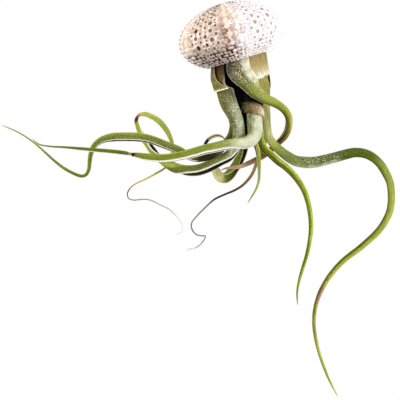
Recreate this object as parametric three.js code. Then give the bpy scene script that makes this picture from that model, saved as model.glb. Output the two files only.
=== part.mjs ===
// Medusa's head air plant hanging head down out of a cleaned sea-urchin shell.
// Millimetres, +Z up. The origin is the small hole in the top of the shell, by which it hangs.
// The plant's leaves are curled lengthwise into channels: broad, nested sheaths make the bulb,
// and each sheath narrows into a thin, rolled, winding blade.
import * as THREE from "three";

// Shell
const SHELL_RADIUS = 30.2;
const SHELL_HALF_HEIGHT = 18.2;
const SHELL_WALL = 1.8;
const SHELL_LEAN = THREE.MathUtils.degToRad(16);
const TOP_HOLE_RADIUS = 2.5;
const MOUTH_RADIUS = 17.3;
const ZONES = 5;
const COLUMNS_PER_ZONE = 14;
const FIRST_ZONE_ANGLE = THREE.MathUtils.degToRad(-87);
const ROW_PITCH_AT_TOP = 0.95;
const ROW_PITCH_GROWTH = 0.055;
const INNER_ROWS = 9;
// Bumps across one zone, by column: height, and whether they stand on even or odd rows
const BUMPS = {
  1: { height: 0.8, parity: 0 },
  3: { height: 0.4, parity: 1 },
  5: { height: 1.1, parity: 0 },
  7: { height: 0.35, parity: 1 },
  9: { height: 1.1, parity: 1 },
  11: { height: 0.4, parity: 0 },
  13: { height: 0.8, parity: 1 },
};
const FULL_BUMP_RADIUS = 14;

// Stem and the dab of glue that holds it in the shell
const STEM_RADIUS = 2.6;
const STEM_TOP = 6.6;
const STEM_BOTTOM = 15;
const GLUE_RADIUS = 5.4;
const GLUE_TOP = 2.6;
const GLUE_BOTTOM = 6.2;

// Bulb: sheaths nest round one axis, a layer apart
const LEAF_WALL = 0.75;
const LAYER_PITCH = 1.45;
const BULB_RADIUS = 16.1;
const BULB_WIDEST = 31;
const BULB_LENGTH = 26;
const SHEATH_STATIONS = [10, 14, 19, 25, 31];
const SECTION_STEPS = 5;
const STATION_SPACING = 9;
// A section this wide or wider lies square to the bulb, and a narrow one square to its own course
const SHEATH_RADIUS = 8;
const BLADE_RADIUS = 4;

// Point on the bulb's axis, a distance down from the hole in the shell
function axisPoint(depth) {
  return [depth * Math.sin(SHELL_LEAN), 0, -depth * Math.cos(SHELL_LEAN)];
}

// Outer radius of the bulb at a depth, an ellipse that is widest in the shell's mouth
function bulbRadius(depth) {
  return BULB_RADIUS * Math.sqrt(1 - ((BULB_WIDEST - depth) / BULB_LENGTH) ** 2);
}

// Rows of a sheath inside the shell: azimuth is 0 at the right, 90 at the back, in degrees.
// Every row is x, y, z, radius of the rolled section, roll of its opening, half its spread.
// A roll of 0 opens to the front, and 90 to the left of a leaf that hangs straight down.
function sheathRows(azimuth, halfSpread, layer) {
  return SHEATH_STATIONS.map((depth) => [
    ...axisPoint(depth),
    bulbRadius(depth) - layer * LAYER_PITCH,
    90 - azimuth,
    halfSpread,
  ]);
}

// Rows of a slim sheath that runs close round the stem, behind the gap in the front of the bulb
function innerSheathRows(azimuth, halfSpread, radius) {
  return SHEATH_STATIONS.map((depth) => [...axisPoint(depth), radius, 90 - azimuth, halfSpread]);
}

const FRONT_LOOP = [
  ...sheathRows(-89, 28, 0),
  [9.7, -3.6, -38, 13, 180, 35],
  [12.4, -8.3, -43.3, 9, 176, 48],
  [16.2, -12.2, -48, 5.2, 165, 70],
  [20.5, -13.2, -51.6, 3.6, 150, 105],
  [24.5, -13, -54.2, 2.9, 140, 130],
  [29, -12, -56.2, 2.6, 130, 145],
  [33, -10.5, -58.7, 2.3, 115, 150],
  [36, -9, -61.8, 2.3, 100, 150],
  [37.3, -7, -65, 2.25, 90, 150],
  [37.4, -4.5, -68.5, 2.25, 80, 145],
  [36.6, -1, -72.4, 2.2, 75, 145],
  [34.7, 2.5, -75.7, 2.1, 75, 145],
  [31.9, 6, -78.7, 1.85, 80, 150],
  [27.9, 9, -82.4, 1.8, 85, 150],
  [23.4, 9.5, -86.1, 1.75, 90, 150],
  [18.8, 8.5, -88.6, 1.7, 90, 150],
  [14.3, 6, -90.7, 1.5, 90, 150],
  [9.7, 3.5, -92.6, 1.25, 90, 150],
  [5.7, 2, -93.1, 0.95, 90, 150],
  [1.7, 0.5, -93.6, 0.7, 90, 150],
  [-1.1, -0.5, -94.6, 0.45, 90, 150],
];

const LONG_RIGHT = [
  ...sheathRows(-11, 58, 1),
  [10.9, 0.1, -40, 14.2, 104, 55],
  [12.3, 0.2, -45, 13.6, 103, 55],
  [15.2, 0.4, -50, 12, 95, 53],
  [19, 1, -56, 8.2, 80, 52],
  [23.6, 0.5, -62, 3.6, 85, 115],
  [24.8, 0.3, -69, 2.5, 120, 150],
  [26.2, 0, -75.8, 2.4, 150, 150],
  [28.8, 0, -79.8, 2.5, 165, 150],
  [32.5, -0.5, -83.5, 2.7, 175, 150],
  [36.5, -1, -86.6, 2.9, 180, 150],
  [41, -2, -89.2, 3.1, 180, 150],
  [46.7, -2, -90.2, 3.3, 185, 150],
  [52.4, -1, -90.1, 3.2, 185, 150],
  [58, 0, -88.9, 3.1, 185, 150],
  [63.8, 2, -87.4, 3.0, 185, 150],
  [69.5, 4, -85.8, 2.9, 180, 150],
  [75.2, 7, -84.6, 2.8, 180, 150],
  [80.5, 10, -85.1, 2.7, 175, 150],
  [85, 13, -87, 2.6, 170, 150],
  [89.1, 16, -90.4, 2.5, 165, 150],
  [92.6, 19, -95.5, 2.4, 160, 150],
  [95.3, 22, -101.2, 2.2, 155, 150],
  [96.6, 25, -107.2, 2.15, 150, 150],
  [96.7, 28, -113.4, 2.1, 145, 150],
  [95.3, 30, -119.1, 2.05, 135, 150],
  [89.8, 33, -128.4, 2.0, 120, 148],
  [79.6, 35, -138, 1.85, 105, 148],
  [68, 35, -147.2, 1.75, 100, 148],
  [59.9, 33, -156.7, 1.65, 95, 148],
  [54.1, 29, -168, 1.45, 90, 148],
  [51.9, 25, -180.6, 1.25, 90, 148],
  [53.9, 21, -195.4, 1.1, 90, 148],
  [59.3, 16, -211.3, 0.9, 90, 148],
  [65.6, 12, -224.2, 0.4, 90, 148],
];

const MID_RIGHT = [
  ...sheathRows(35, 42, 2),
  [10.6, 0, -40, 12.8, 60, 40],
  [13, 1, -48, 9.8, 66, 38],
  [17, 3.5, -56, 4.6, 55, 86],
  [16.8, 2.8, -62, 3.4, 50, 118],
  [18.9, 0.8, -69, 2.8, 55, 140],
  [20.6, -1, -74, 2.5, 60, 145],
  [21.9, -1, -79.2, 2.35, 65, 145],
  [23.9, -1.5, -82.7, 2.25, 70, 140],
  [27.4, -2.5, -86, 2.25, 72, 140],
  [31.4, -4, -89.8, 2.15, 72, 140],
  [35.9, -5, -93.2, 2.1, 75, 140],
  [39.9, -6.5, -97.2, 2.0, 75, 140],
  [43.3, -8, -101.5, 1.9, 78, 142],
  [46.2, -10, -106.6, 1.75, 80, 145],
  [48.4, -12, -113.4, 1.6, 82, 145],
  [49.7, -14, -121.4, 1.5, 84, 145],
  [49.9, -15.5, -128.8, 1.4, 85, 145],
  [49, -16.5, -136.2, 1.3, 85, 145],
  [47.4, -17, -143.6, 1.2, 85, 145],
  [44.9, -16.5, -151.6, 1.05, 85, 145],
  [43.2, -15.5, -157.9, 0.85, 85, 145],
  [42.2, -14, -164.2, 0.65, 85, 145],
  [42.4, -12, -171.6, 0.35, 85, 145],
];

const SHORT_CENTRE = [
  ...sheathRows(36, 36, 3),
  [10.6, 0, -40, 11.4, 58, 36],
  [13.3, 1.2, -48, 7.9, 62, 38],
  [17, 3.5, -56, 2.8, 50, 85],
  [15.7, 1.8, -62, 1.65, 45, 130],
  [15.9, -2.9, -69, 1.7, 45, 140],
  [16.4, -3.1, -74, 1.65, 50, 140],
  [18, -3, -78.5, 1.6, 55, 140],
  [19.4, -1.8, -82.1, 1.55, 60, 140],
  [20.1, -1, -86, 1.35, 65, 140],
  [20.5, -0.5, -90.6, 1.15, 65, 140],
  [20.6, -1, -95.8, 0.9, 65, 140],
  [20.4, -2, -100.3, 0.8, 65, 140],
  [19.3, -3, -104.3, 0.7, 65, 140],
  [17.4, -4, -108, 0.55, 65, 140],
  [13.9, -5.5, -113.7, 0.35, 65, 140],
];

const FRONT_LEFT = [
  ...innerSheathRows(285, 70, 4.2),
  [11.2, 1.5, -41, 4.4, -195, 78],
  [13.5, 0.5, -49, 4.5, -190, 90],
  [16.3, -4, -56, 4.5, -185, 110],
  [17.7, -8, -62, 4.5, -180, 130],
  [18.1, -9.2, -67.5, 4.5, -178, 145],
  [18.3, -9.6, -71.5, 4.3, -172, 148],
  [17.8, -10, -75, 4.0, -160, 148],
  [15.6, -10.6, -77.8, 3.7, -140, 148],
  [12.4, -11, -79.2, 3.4, -118, 148],
  [9, -11.3, -79.6, 3.2, -100, 146],
  [5, -11.6, -79.9, 3.1, -78, 156],
  [1.1, -12, -80.4, 3.0, -72, 158],
  [-4.6, -12.8, -81.7, 2.9, -70, 158],
  [-10.3, -14, -82.9, 2.85, -70, 157],
  [-16, -15, -84.6, 2.8, -72, 155],
  [-21.7, -16.5, -86.1, 2.7, -76, 152],
  [-27.4, -18, -87.2, 2.6, -82, 150],
  [-33, -19.5, -87.9, 2.5, -86, 148],
  [-38.7, -20.5, -87.9, 2.4, -88, 148],
  [-44.3, -21.5, -87.3, 2.25, -90, 148],
  [-49, -22.5, -86.4, 1.75, -90, 148],
  [-52.1, -23, -85.8, 1.05, -90, 148],
  [-55.8, -23.8, -85.2, 1.4, -90, 148],
  [-61.4, -25, -84.5, 1.4, -90, 148],
  [-72.6, -27.5, -83.5, 1.25, -90, 148],
  [-81, -29, -82.7, 1.1, -90, 148],
  [-89.4, -30, -81.9, 0.8, -90, 148],
  [-97.8, -30.5, -81.4, 0.6, -90, 148],
  [-104.6, -30.5, -80.1, 0.5, -90, 148],
  [-109.2, -30, -76.5, 0.35, -90, 148],
];

const FAR_LEFT = [
  ...sheathRows(104, 36, 1),
  [10.5, 0, -40, 14.2, -14, 36],
  [9.5, 1.5, -48, 10.4, -24, 40],
  [7.3, 1.6, -56, 5.4, -25, 80],
  [6.3, 1.6, -62.5, 4.1, -35, 120],
  [6.8, 1.5, -69, 3.1, -50, 140],
  [4.6, 0.4, -76, 2.7, -60, 142],
  [-0.2, -2.8, -81.5, 2.6, -70, 142],
  [-5, -5, -85.4, 2.6, -75, 142],
  [-10.8, -6, -87.5, 2.5, -78, 142],
  [-16, -7, -87.8, 2.5, -80, 142],
  [-21, -8, -86, 2.5, -80, 142],
  [-25, -8.8, -83.6, 2.5, -80, 142],
  [-29.1, -9.5, -81.9, 2.5, -78, 142],
  [-33, -10, -80.4, 2.55, -76, 142],
  [-37.5, -10.5, -78.6, 2.6, -75, 142],
  [-41.5, -11, -77.2, 2.6, -74, 140],
  [-46.2, -12, -76.3, 2.7, -74, 140],
  [-51.8, -13, -75.9, 2.75, -74, 140],
  [-57.5, -14, -75.9, 2.75, -74, 140],
  [-63.1, -15, -76.2, 2.65, -74, 140],
  [-67.6, -16, -77.2, 2.3, -76, 142],
  [-71.1, -16.5, -79, 2.0, -78, 145],
  [-73.4, -16.5, -81.4, 1.8, -80, 145],
  [-74.9, -16, -85, 1.6, -82, 145],
  [-75.6, -15.5, -88.9, 1.45, -84, 145],
  [-75.9, -15, -92.3, 1.3, -86, 145],
  [-76.5, -14.5, -95.2, 1.2, -88, 145],
  [-78, -14, -97.5, 1.15, -88, 145],
  [-80.3, -13.5, -98.2, 1.1, -86, 145],
  [-83.2, -13, -97.5, 1.1, -84, 145],
  [-90, -12, -94.1, 1.05, -82, 145],
  [-95.7, -11.5, -89.8, 0.9, -82, 145],
  [-101.4, -11, -84.6, 0.75, -82, 145],
  [-107.2, -11, -79.5, 0.6, -82, 145],
  [-115.6, -11, -73.8, 0.45, -82, 145],
  [-126, -11, -69, 0.35, -82, 145],
];

const CURLED_LEFT = [
  ...sheathRows(190, 42, 1),
  [8.8, 0, -39, 14.7, -102, 43],
  [5.6, -2, -45.5, 9.8, -112, 44],
  [2.5, -4.4, -51, 5.9, -118, 104],
  [3.6, -6.3, -57, 5.1, -112, 134],
  [6.4, -7.4, -63, 4.3, -110, 140],
  [8.5, -8, -68.5, 3.6, -106, 148],
  [8.5, -5.9, -75.2, 3.2, -98, 146],
  [7.6, -3.7, -80.4, 3.2, -88, 142],
  [5.7, -2.5, -84.2, 3.3, -76, 136],
  [2.6, -0.9, -87.3, 3.4, -68, 132],
  [-1.9, 0, -89.4, 3.5, -66, 132],
  [-6.3, 0.4, -91.9, 3.6, -64, 127],
  [-10.3, 0.6, -93.7, 3.6, -64, 126],
  [-14.3, 0.5, -94.9, 3.6, -66, 126],
  [-18.8, 0.4, -95.3, 3.5, -70, 126],
  [-22.8, 0.3, -94.8, 3.3, -84, 130],
  [-26.8, 0.2, -93.6, 3.1, -122, 136],
  [-30.2, 0, -91.7, 2.9, -172, 138],
  [-33.7, 0, -89.3, 2.75, -225, 132],
  [-36.8, 0, -86.8, 2.65, -268, 124],
  [-39.9, 0.2, -83.6, 2.45, -296, 122],
  [-42.4, 0.8, -80.2, 2.25, -300, 126],
  [-45, 1.5, -76.8, 2.05, -290, 138],
  [-47, 2.3, -73.2, 1.8, -278, 145],
  [-48.4, 3.1, -69.6, 1.55, -272, 145],
  [-49.4, 4, -66.6, 1.2, -270, 145],
  [-48.8, 4.8, -64.6, 1.0, -270, 145],
  [-47.2, 5.6, -63.2, 1.2, -270, 145],
  [-44.2, 6.8, -63, 1.6, -270, 145],
  [-40.9, 8, -64.3, 1.85, -270, 142],
  [-38, 9, -66, 1.95, -270, 140],
  [-35.7, 9.7, -68, 1.95, -270, 140],
  [-33.5, 10.3, -70.6, 1.9, -270, 140],
  [-31.8, 10.6, -73.1, 1.75, -270, 140],
  [-30.4, 10.8, -76, 1.55, -270, 140],
  [-29.3, 10.8, -79.5, 1.35, -270, 142],
  [-29, 10.6, -83.5, 1.1, -270, 145],
  [-29.5, 10, -87.8, 1.0, -270, 145],
  [-31.2, 9, -91.3, 0.85, -270, 145],
  [-33.8, 7.8, -93.8, 0.75, -270, 145],
  [-38.7, 6, -96.7, 0.65, -270, 145],
  [-44.4, 4.5, -99.8, 0.55, -270, 145],
  [-50.1, 3.5, -102.5, 0.45, -270, 145],
  [-53, 3, -104.9, 0.42, -270, 145],
  [-54.6, 2.5, -108.3, 0.42, -270, 145],
  [-53.8, 2, -110.9, 0.42, -270, 145],
  [-51, 1.5, -111.8, 0.42, -270, 145],
  [-45.6, 1, -111.4, 0.45, -270, 145],
  [-41.3, 0.5, -111.9, 0.45, -270, 145],
  [-35.8, -0.5, -114.6, 0.45, -270, 145],
  [-30.5, -1.5, -117.2, 0.42, -270, 145],
  [-26.2, -2.5, -121.4, 0.4, -270, 145],
  [-23.4, -3.5, -125.7, 0.38, -270, 145],
  [-23.5, -4, -129.4, 0.36, -270, 145],
  [-27.2, -4.5, -131.4, 0.32, -270, 145],
];

const HOOKED = [
  ...sheathRows(98, 48, 0),
  [10.5, 0.2, -40, 15.6, -8, 47],
  [11.2, 2.2, -48, 13.2, -8, 50],
  [15, 7.2, -56, 6, 2, 62],
  [14, 8, -62, 4.4, -6, 112],
  [13.6, 6.6, -69, 3.6, -16, 135],
  [12.8, 6.2, -76, 3.2, -28, 142],
  [11.6, 6.6, -81.5, 3.0, -42, 142],
  [10.1, 7.4, -86.6, 2.9, -56, 140],
  [8.2, 8.6, -91, 2.9, -60, 136],
  [6, 9.6, -94.4, 2.9, -54, 132],
  [3.9, 10, -97.2, 3.1, -42, 122],
  [1.4, 9.8, -99.1, 3.1, -28, 112],
  [-1.5, 9.4, -98.6, 2.9, -14, 100],
  [-3.5, 9, -96, 2.6, -5, 95],
  [-5.1, 8.4, -92.4, 2.2, 0, 105],
  [-7.4, 6.6, -88, 1.6, 0, 125],
  [-9.6, 2.6, -83.8, 1.1, 0, 145],
  [-10.1, -1.6, -80, 0.95, 0, 145],
  [-7.9, -4.4, -76.8, 0.95, 0, 145],
  [-5.1, -5.6, -75.3, 0.95, 0, 145],
  [-2.6, -6.2, -75, 0.9, 0, 145],
  [-0.4, -6.4, -75.7, 0.7, 0, 145],
  [1.3, -6.4, -77.3, 0.45, 0, 145],
];

const DRY_THREAD = [
  ...sheathRows(27, 14, 0),
  [10.9, 0, -40, 15.8, 63, 14],
  [18.8, 2.8, -48, 9, 63, 24],
  [24.5, 8.3, -56, 2.5, 63, 62],
  [25.1, 7.4, -62, 1.8, 63, 105],
  [25.3, 7.4, -69, 1.3, 63, 140],
  [24.4, 9.4, -77, 1.2, 63, 145],
  [21.8, 12.4, -84.5, 1.15, 63, 145],
  [19.4, 14, -90, 1.05, 63, 145],
  [17.8, 14.6, -94.4, 1.0, 63, 145],
  [16.2, 14.8, -97.6, 0.95, 63, 145],
  [13.4, 14.8, -101.2, 0.85, 63, 145],
  [10.3, 14.4, -104, 0.75, 63, 145],
  [6.4, 13.6, -106.3, 0.65, 63, 145],
  [0.6, 12.4, -108.7, 0.58, 63, 145],
  [-5.1, 11, -111.5, 0.55, 63, 145],
  [-10.3, 9.6, -116.1, 0.5, 63, 145],
  [-14.8, 8.4, -120.7, 0.45, 63, 145],
  [-17.8, 7.4, -124.6, 0.42, 63, 145],
  [-17.9, 6.8, -127.8, 0.42, 63, 145],
  [-15.6, 6.4, -131.2, 0.42, 63, 145],
  [-12.4, 6.2, -132.2, 0.42, 63, 145],
  [-10.1, 6, -132.2, 0.4, 63, 145],
  [-10.7, 5.8, -134.1, 0.4, 63, 145],
  [-14, 5.4, -138, 0.4, 63, 145],
  [-16.8, 5.1, -139.3, 0.38, 63, 145],
  [-19.6, 4.9, -139.7, 0.36, 63, 145],
  [-20.9, 4.7, -141, 0.32, 63, 145],
];

const OLD_LEFT = [
  ...sheathRows(182, 24, 0),
  [8.4, 0, -38, 16.1, -94, 29],
  [7, -1, -42, 13.8, -98, 36],
  [6, -1.8, -45, 12, -106, 44],
  [5.1, -2.4, -47, 10.6, -112, 55],
  [4, -3.2, -48.4, 9.8, -114, 64],
];

const OLD_RIGHT = [
  ...sheathRows(-26, 31, 0),
  [10, 0, -37, 16.1, 114, 29],
  [10.9, 0, -42, 16.1, 112, 28],
  [11.5, 0, -45.5, 16, 111, 28],
];

const OLD_CENTRE = [
  ...innerSheathRows(275, 46, 4.2 + LAYER_PITCH),
  [11.2, 1.5, -41, 5.8, -188, 60],
  [13.5, 0.5, -49, 5.9, -188, 75],
  [16.3, -4, -56, 5.9, -185, 90],
  [17.7, -8, -62, 5.9, -180, 96],
  [17.9, -8.6, -64.5, 5.9, -178, 96],
];

// One point of a smooth curve through the rows, all six values together.
// The curve is a centripetal Catmull-Rom one, so that it doesn't overshoot at tight bends.
function blendRows(rows, span, t) {
  const start = rows[span];
  const end = rows[span + 1];
  const mirror = (from, about) => about.map((value, k) => 2 * value - from[k]);
  const before = rows[span - 1] ?? mirror(end, start);
  const after = rows[span + 2] ?? mirror(start, end);
  const reach = (a, b) => Math.sqrt(Math.hypot(a[0] - b[0], a[1] - b[1], a[2] - b[2]));
  const d0 = reach(before, start);
  const d1 = reach(start, end);
  const d2 = reach(end, after);
  return start.map((p1, k) => {
    const p0 = before[k];
    const p2 = end[k];
    const p3 = after[k];
    const m1 = d1 * ((p1 - p0) / d0 - (p2 - p0) / (d0 + d1) + (p2 - p1) / d1);
    const m2 = d1 * ((p2 - p1) / d1 - (p3 - p1) / (d1 + d2) + (p3 - p2) / d2);
    const bend = 2 * (p1 - p2) + m1 + m2;
    return p1 + m1 * t + (3 * (p2 - p1) - 2 * m1 - m2) * t * t + bend * t * t * t;
  });
}

// Stations along a leaf, no further apart than the spacing
function stationsAlong(rows) {
  const stations = [];
  for (let span = 0; span < rows.length - 1; span += 1) {
    const a = rows[span];
    const b = rows[span + 1];
    const length = Math.hypot(a[0] - b[0], a[1] - b[1], a[2] - b[2]);
    const steps = Math.ceil(length / STATION_SPACING);
    for (let step = 0; step < steps; step += 1) {
      stations.push(blendRows(rows, span, step / steps));
    }
  }
  stations.push(rows[rows.length - 1]);
  return stations;
}

// Closed body from points and triangles, with its faces turned outwards
function closedBody(points, triangles) {
  const volume = triangles.reduce((sum, [a, b, c]) => {
    return sum + points[a].dot(points[b].clone().cross(points[c]));
  }, 0);
  const facing = volume < 0 ? triangles.map(([a, b, c]) => [a, c, b]) : triangles;
  const geometry = new THREE.BufferGeometry();
  geometry.setAttribute(
    "position",
    new THREE.Float32BufferAttribute(points.flatMap((p) => p.toArray()), 3),
  );
  geometry.setIndex(facing.flat());
  geometry.computeVertexNormals();
  return geometry;
}

// Leaf: a channel-shaped section swept along its stations. The section is an arc with a wall.
// The wall thins with the radius, so that the tip is a fine groove in a thin thread.
function leafGeometry(rows, tear = 0) {
  const stations = stationsAlong(rows);
  const centres = stations.map(([x, y, z]) => new THREE.Vector3(x, y, z));
  const last = stations.length - 1;
  const bulbAxis = new THREE.Vector3(...axisPoint(1));
  const points = [];
  stations.forEach(([, , , radius, roll, halfSpread], i) => {
    const tangent = centres[Math.min(i + 1, last)].clone().sub(centres[Math.max(i - 1, 0)]).normalize();
    const broad = THREE.MathUtils.clamp((radius - BLADE_RADIUS) / (SHEATH_RADIUS - BLADE_RADIUS), 0, 1);
    const course = tangent.clone().lerp(bulbAxis, broad).normalize();
    const front = new THREE.Vector3(0, -1, 0);
    front.addScaledVector(course, -front.dot(course)).normalize();
    const opening = front.clone().applyAxisAngle(course, THREE.MathUtils.degToRad(roll));
    const side = course.clone().cross(opening);
    const wall = Math.min(LEAF_WALL, 0.72 * radius);
    const spread = THREE.MathUtils.degToRad(halfSpread);
    const place = (j, distance) => {
      const angle = spread * ((2 * j) / SECTION_STEPS - 1);
      const point = centres[i].clone();
      point.addScaledVector(opening, -distance * Math.cos(angle));
      point.addScaledVector(side, distance * Math.sin(angle));
      if (i === last) point.addScaledVector(tangent, j % 2 ? tear : -tear);
      return point;
    };
    for (let j = 0; j <= SECTION_STEPS; j += 1) points.push(place(j, radius));
    for (let j = SECTION_STEPS; j >= 0; j -= 1) points.push(place(j, radius - wall));
  });
  const ring = 2 * (SECTION_STEPS + 1);
  const triangles = [];
  for (let i = 0; i < last; i += 1) {
    for (let k = 0; k < ring; k += 1) {
      const a = i * ring + k;
      const b = i * ring + ((k + 1) % ring);
      const inner = k > SECTION_STEPS;
      // Both faces of the wall are split along the same diagonal
      if (inner) triangles.push([a, b, a + ring], [b, b + ring, a + ring]);
      else triangles.push([a, b, b + ring], [a, b + ring, a + ring]);
    }
  }
  const tip = last * ring;
  for (let k = 0; k < SECTION_STEPS; k += 1) {
    const across = ring - 1 - k;
    triangles.push([k, across, across - 1], [k, across - 1, k + 1]);
    triangles.push([tip + k, tip + across - 1, tip + across], [tip + k, tip + k + 1, tip + across - 1]);
  }
  return closedBody(points, triangles);
}

// Shell: an oblate dome with rows of bumps outside, a smooth wall inside, a small hole in the
// top and a wide mouth below. Its own frame has the axis along Z and the centre at the origin.
function shellPoint(polar, azimuth, lift) {
  const normal = new THREE.Vector2(Math.sin(polar) / SHELL_RADIUS, Math.cos(polar) / SHELL_HALF_HEIGHT);
  normal.normalize();
  const radius = SHELL_RADIUS * Math.sin(polar) + lift * normal.x;
  const height = SHELL_HALF_HEIGHT * Math.cos(polar) + lift * normal.y;
  return new THREE.Vector3(radius * Math.cos(azimuth), radius * Math.sin(azimuth), height);
}

// Rows of the outer face, closer together where the shell is narrow, as the bumps are
function shellRows(firstPolar, lastPolar) {
  const rows = [];
  let polar = firstPolar;
  let step = 0;
  while (polar < lastPolar - 0.4 * step) {
    rows.push(polar);
    const radius = SHELL_RADIUS * Math.sin(polar);
    const slope = Math.hypot(SHELL_RADIUS * Math.cos(polar), SHELL_HALF_HEIGHT * Math.sin(polar));
    step = (ROW_PITCH_AT_TOP + ROW_PITCH_GROWTH * radius) / slope;
    polar += step;
  }
  rows.push(lastPolar);
  return rows;
}

// Height of the shell's relief at a grid point: one bump to a point of its column and row
function bumpHeight(column, row, polar) {
  const bump = BUMPS[column % COLUMNS_PER_ZONE];
  if (!bump || row % 2 !== bump.parity) return 0;
  return bump.height * Math.min(1, (SHELL_RADIUS * Math.sin(polar)) / FULL_BUMP_RADIUS);
}

function shellGeometry() {
  const firstPolar = Math.asin(TOP_HOLE_RADIUS / SHELL_RADIUS);
  const lastPolar = Math.PI - Math.asin(MOUTH_RADIUS / SHELL_RADIUS);
  const columns = ZONES * COLUMNS_PER_ZONE;
  const innerColumns = columns / 2;
  const outerRows = shellRows(firstPolar, lastPolar);
  const azimuthOf = (share) => FIRST_ZONE_ANGLE + 2 * Math.PI * share;
  const points = [];
  outerRows.forEach((polar, row) => {
    const edge = row === 0 || row === outerRows.length - 1;
    for (let column = 0; column < columns; column += 1) {
      const lift = edge ? 0 : bumpHeight(column, row, polar);
      points.push(shellPoint(polar, azimuthOf(column / columns), lift));
    }
  });
  const innerStart = points.length;
  for (let row = 0; row <= INNER_ROWS; row += 1) {
    const polar = firstPolar + ((lastPolar - firstPolar) * row) / INNER_ROWS;
    for (let column = 0; column < innerColumns; column += 1) {
      points.push(shellPoint(polar, azimuthOf(column / innerColumns), -SHELL_WALL));
    }
  }
  const outer = (row, column) => row * columns + (column % columns);
  const inner = (row, column) => innerStart + row * innerColumns + (column % innerColumns);
  const triangles = [];
  for (let row = 0; row < outerRows.length - 1; row += 1) {
    for (let column = 0; column < columns; column += 1) {
      const [a, b] = [outer(row, column), outer(row, column + 1)];
      const [c, d] = [outer(row + 1, column), outer(row + 1, column + 1)];
      triangles.push([a, c, d], [a, d, b]);
    }
  }
  for (let row = 0; row < INNER_ROWS; row += 1) {
    for (let column = 0; column < innerColumns; column += 1) {
      const [a, b] = [inner(row, column), inner(row, column + 1)];
      const [c, d] = [inner(row + 1, column), inner(row + 1, column + 1)];
      triangles.push([a, d, c], [a, b, d]);
    }
  }
  // The lips of the hole and the mouth join two outer steps to each inner one
  const bottomRow = outerRows.length - 1;
  for (let column = 0; column < innerColumns; column += 1) {
    const [i0, i1] = [inner(0, column), inner(0, column + 1)];
    const [o0, o1, o2] = [0, 1, 2].map((k) => outer(0, 2 * column + k));
    triangles.push([o0, o1, i0], [o1, o2, i1], [o1, i1, i0]);
    const [j0, j1] = [inner(INNER_ROWS, column), inner(INNER_ROWS, column + 1)];
    const [p0, p1, p2] = [0, 1, 2].map((k) => outer(bottomRow, 2 * column + k));
    triangles.push([p1, p0, j0], [p2, p1, j1], [j1, p1, j0]);
  }
  return closedBody(points, triangles);
}

// Turned solid on the shell's axis, between two depths below the hole
function turnedGeometry(profile) {
  const outline = profile.map(([radius, depth]) => new THREE.Vector2(radius, -depth));
  const geometry = new THREE.LatheGeometry(outline, 16);
  geometry.rotateX(Math.PI / 2);
  return geometry;
}

function makeMesh(name, geometry, colour, roughness) {
  const material = new THREE.MeshStandardMaterial({ color: colour, roughness, metalness: 0 });
  const mesh = new THREE.Mesh(geometry, material);
  mesh.name = name;
  return mesh;
}

const airPlant = new THREE.Group();

// Shell, glue and stem lean together
const leaning = new THREE.Group();
leaning.rotation.y = -SHELL_LEAN;
const shell = makeMesh("urchin_shell", shellGeometry(), 0xd8bfae, 0.8);
shell.position.z = -SHELL_HALF_HEIGHT;
leaning.add(shell);

const glueProfile = [
  [0, GLUE_BOTTOM],
  [3.2, GLUE_BOTTOM],
  [4.6, GLUE_BOTTOM - 1],
  [GLUE_RADIUS, GLUE_TOP + 1],
  [GLUE_RADIUS - 0.4, GLUE_TOP],
  [0, GLUE_TOP],
];
leaning.add(makeMesh("glue_dab", turnedGeometry(glueProfile), 0xe6e0cf, 0.35));

const stemProfile = [
  [0, STEM_BOTTOM],
  [STEM_RADIUS - 0.8, STEM_BOTTOM],
  [STEM_RADIUS, STEM_BOTTOM - 3],
  [STEM_RADIUS - 0.2, STEM_TOP + 1.5],
  [STEM_RADIUS - 0.6, STEM_TOP],
  [0, STEM_TOP],
];
leaning.add(makeMesh("stem_base", turnedGeometry(stemProfile), 0x5b4632, 0.9));
airPlant.add(leaning);

airPlant.add(makeMesh("leaf_front_loop", leafGeometry(FRONT_LOOP), 0x8e8f52, 0.75));
airPlant.add(makeMesh("leaf_long_right", leafGeometry(LONG_RIGHT), 0x86944f, 0.75));
airPlant.add(makeMesh("leaf_mid_right", leafGeometry(MID_RIGHT), 0x7d8a34, 0.7));
airPlant.add(makeMesh("leaf_short_centre", leafGeometry(SHORT_CENTRE), 0xa9a864, 0.7));
airPlant.add(makeMesh("leaf_front_left", leafGeometry(FRONT_LEFT), 0x97a468, 0.75));
airPlant.add(makeMesh("leaf_far_left", leafGeometry(FAR_LEFT), 0x8c9454, 0.75));
airPlant.add(makeMesh("leaf_curled_left", leafGeometry(CURLED_LEFT), 0x8f9852, 0.75));
airPlant.add(makeMesh("leaf_hooked", leafGeometry(HOOKED), 0x7e8144, 0.75));
airPlant.add(makeMesh("leaf_dry_thread", leafGeometry(DRY_THREAD), 0x8a7350, 0.85));
airPlant.add(makeMesh("old_sheath_left", leafGeometry(OLD_LEFT, 0.7), 0x94874d, 0.85));
airPlant.add(makeMesh("old_sheath_right", leafGeometry(OLD_RIGHT, 0.9), 0xcdbd97, 0.85));
airPlant.add(makeMesh("old_sheath_centre", leafGeometry(OLD_CENTRE, 0.5), 0xa8917c, 0.85));

export default airPlant;
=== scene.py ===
# Medusa's head air plant hanging head down out of a cleaned sea-urchin shell
# Metres, +Z up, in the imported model's frame, whose origin is the small hole in the top of the shell.
import math
import random

import bmesh
import bpy
from mathutils import Matrix, Vector, kdtree, noise


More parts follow.
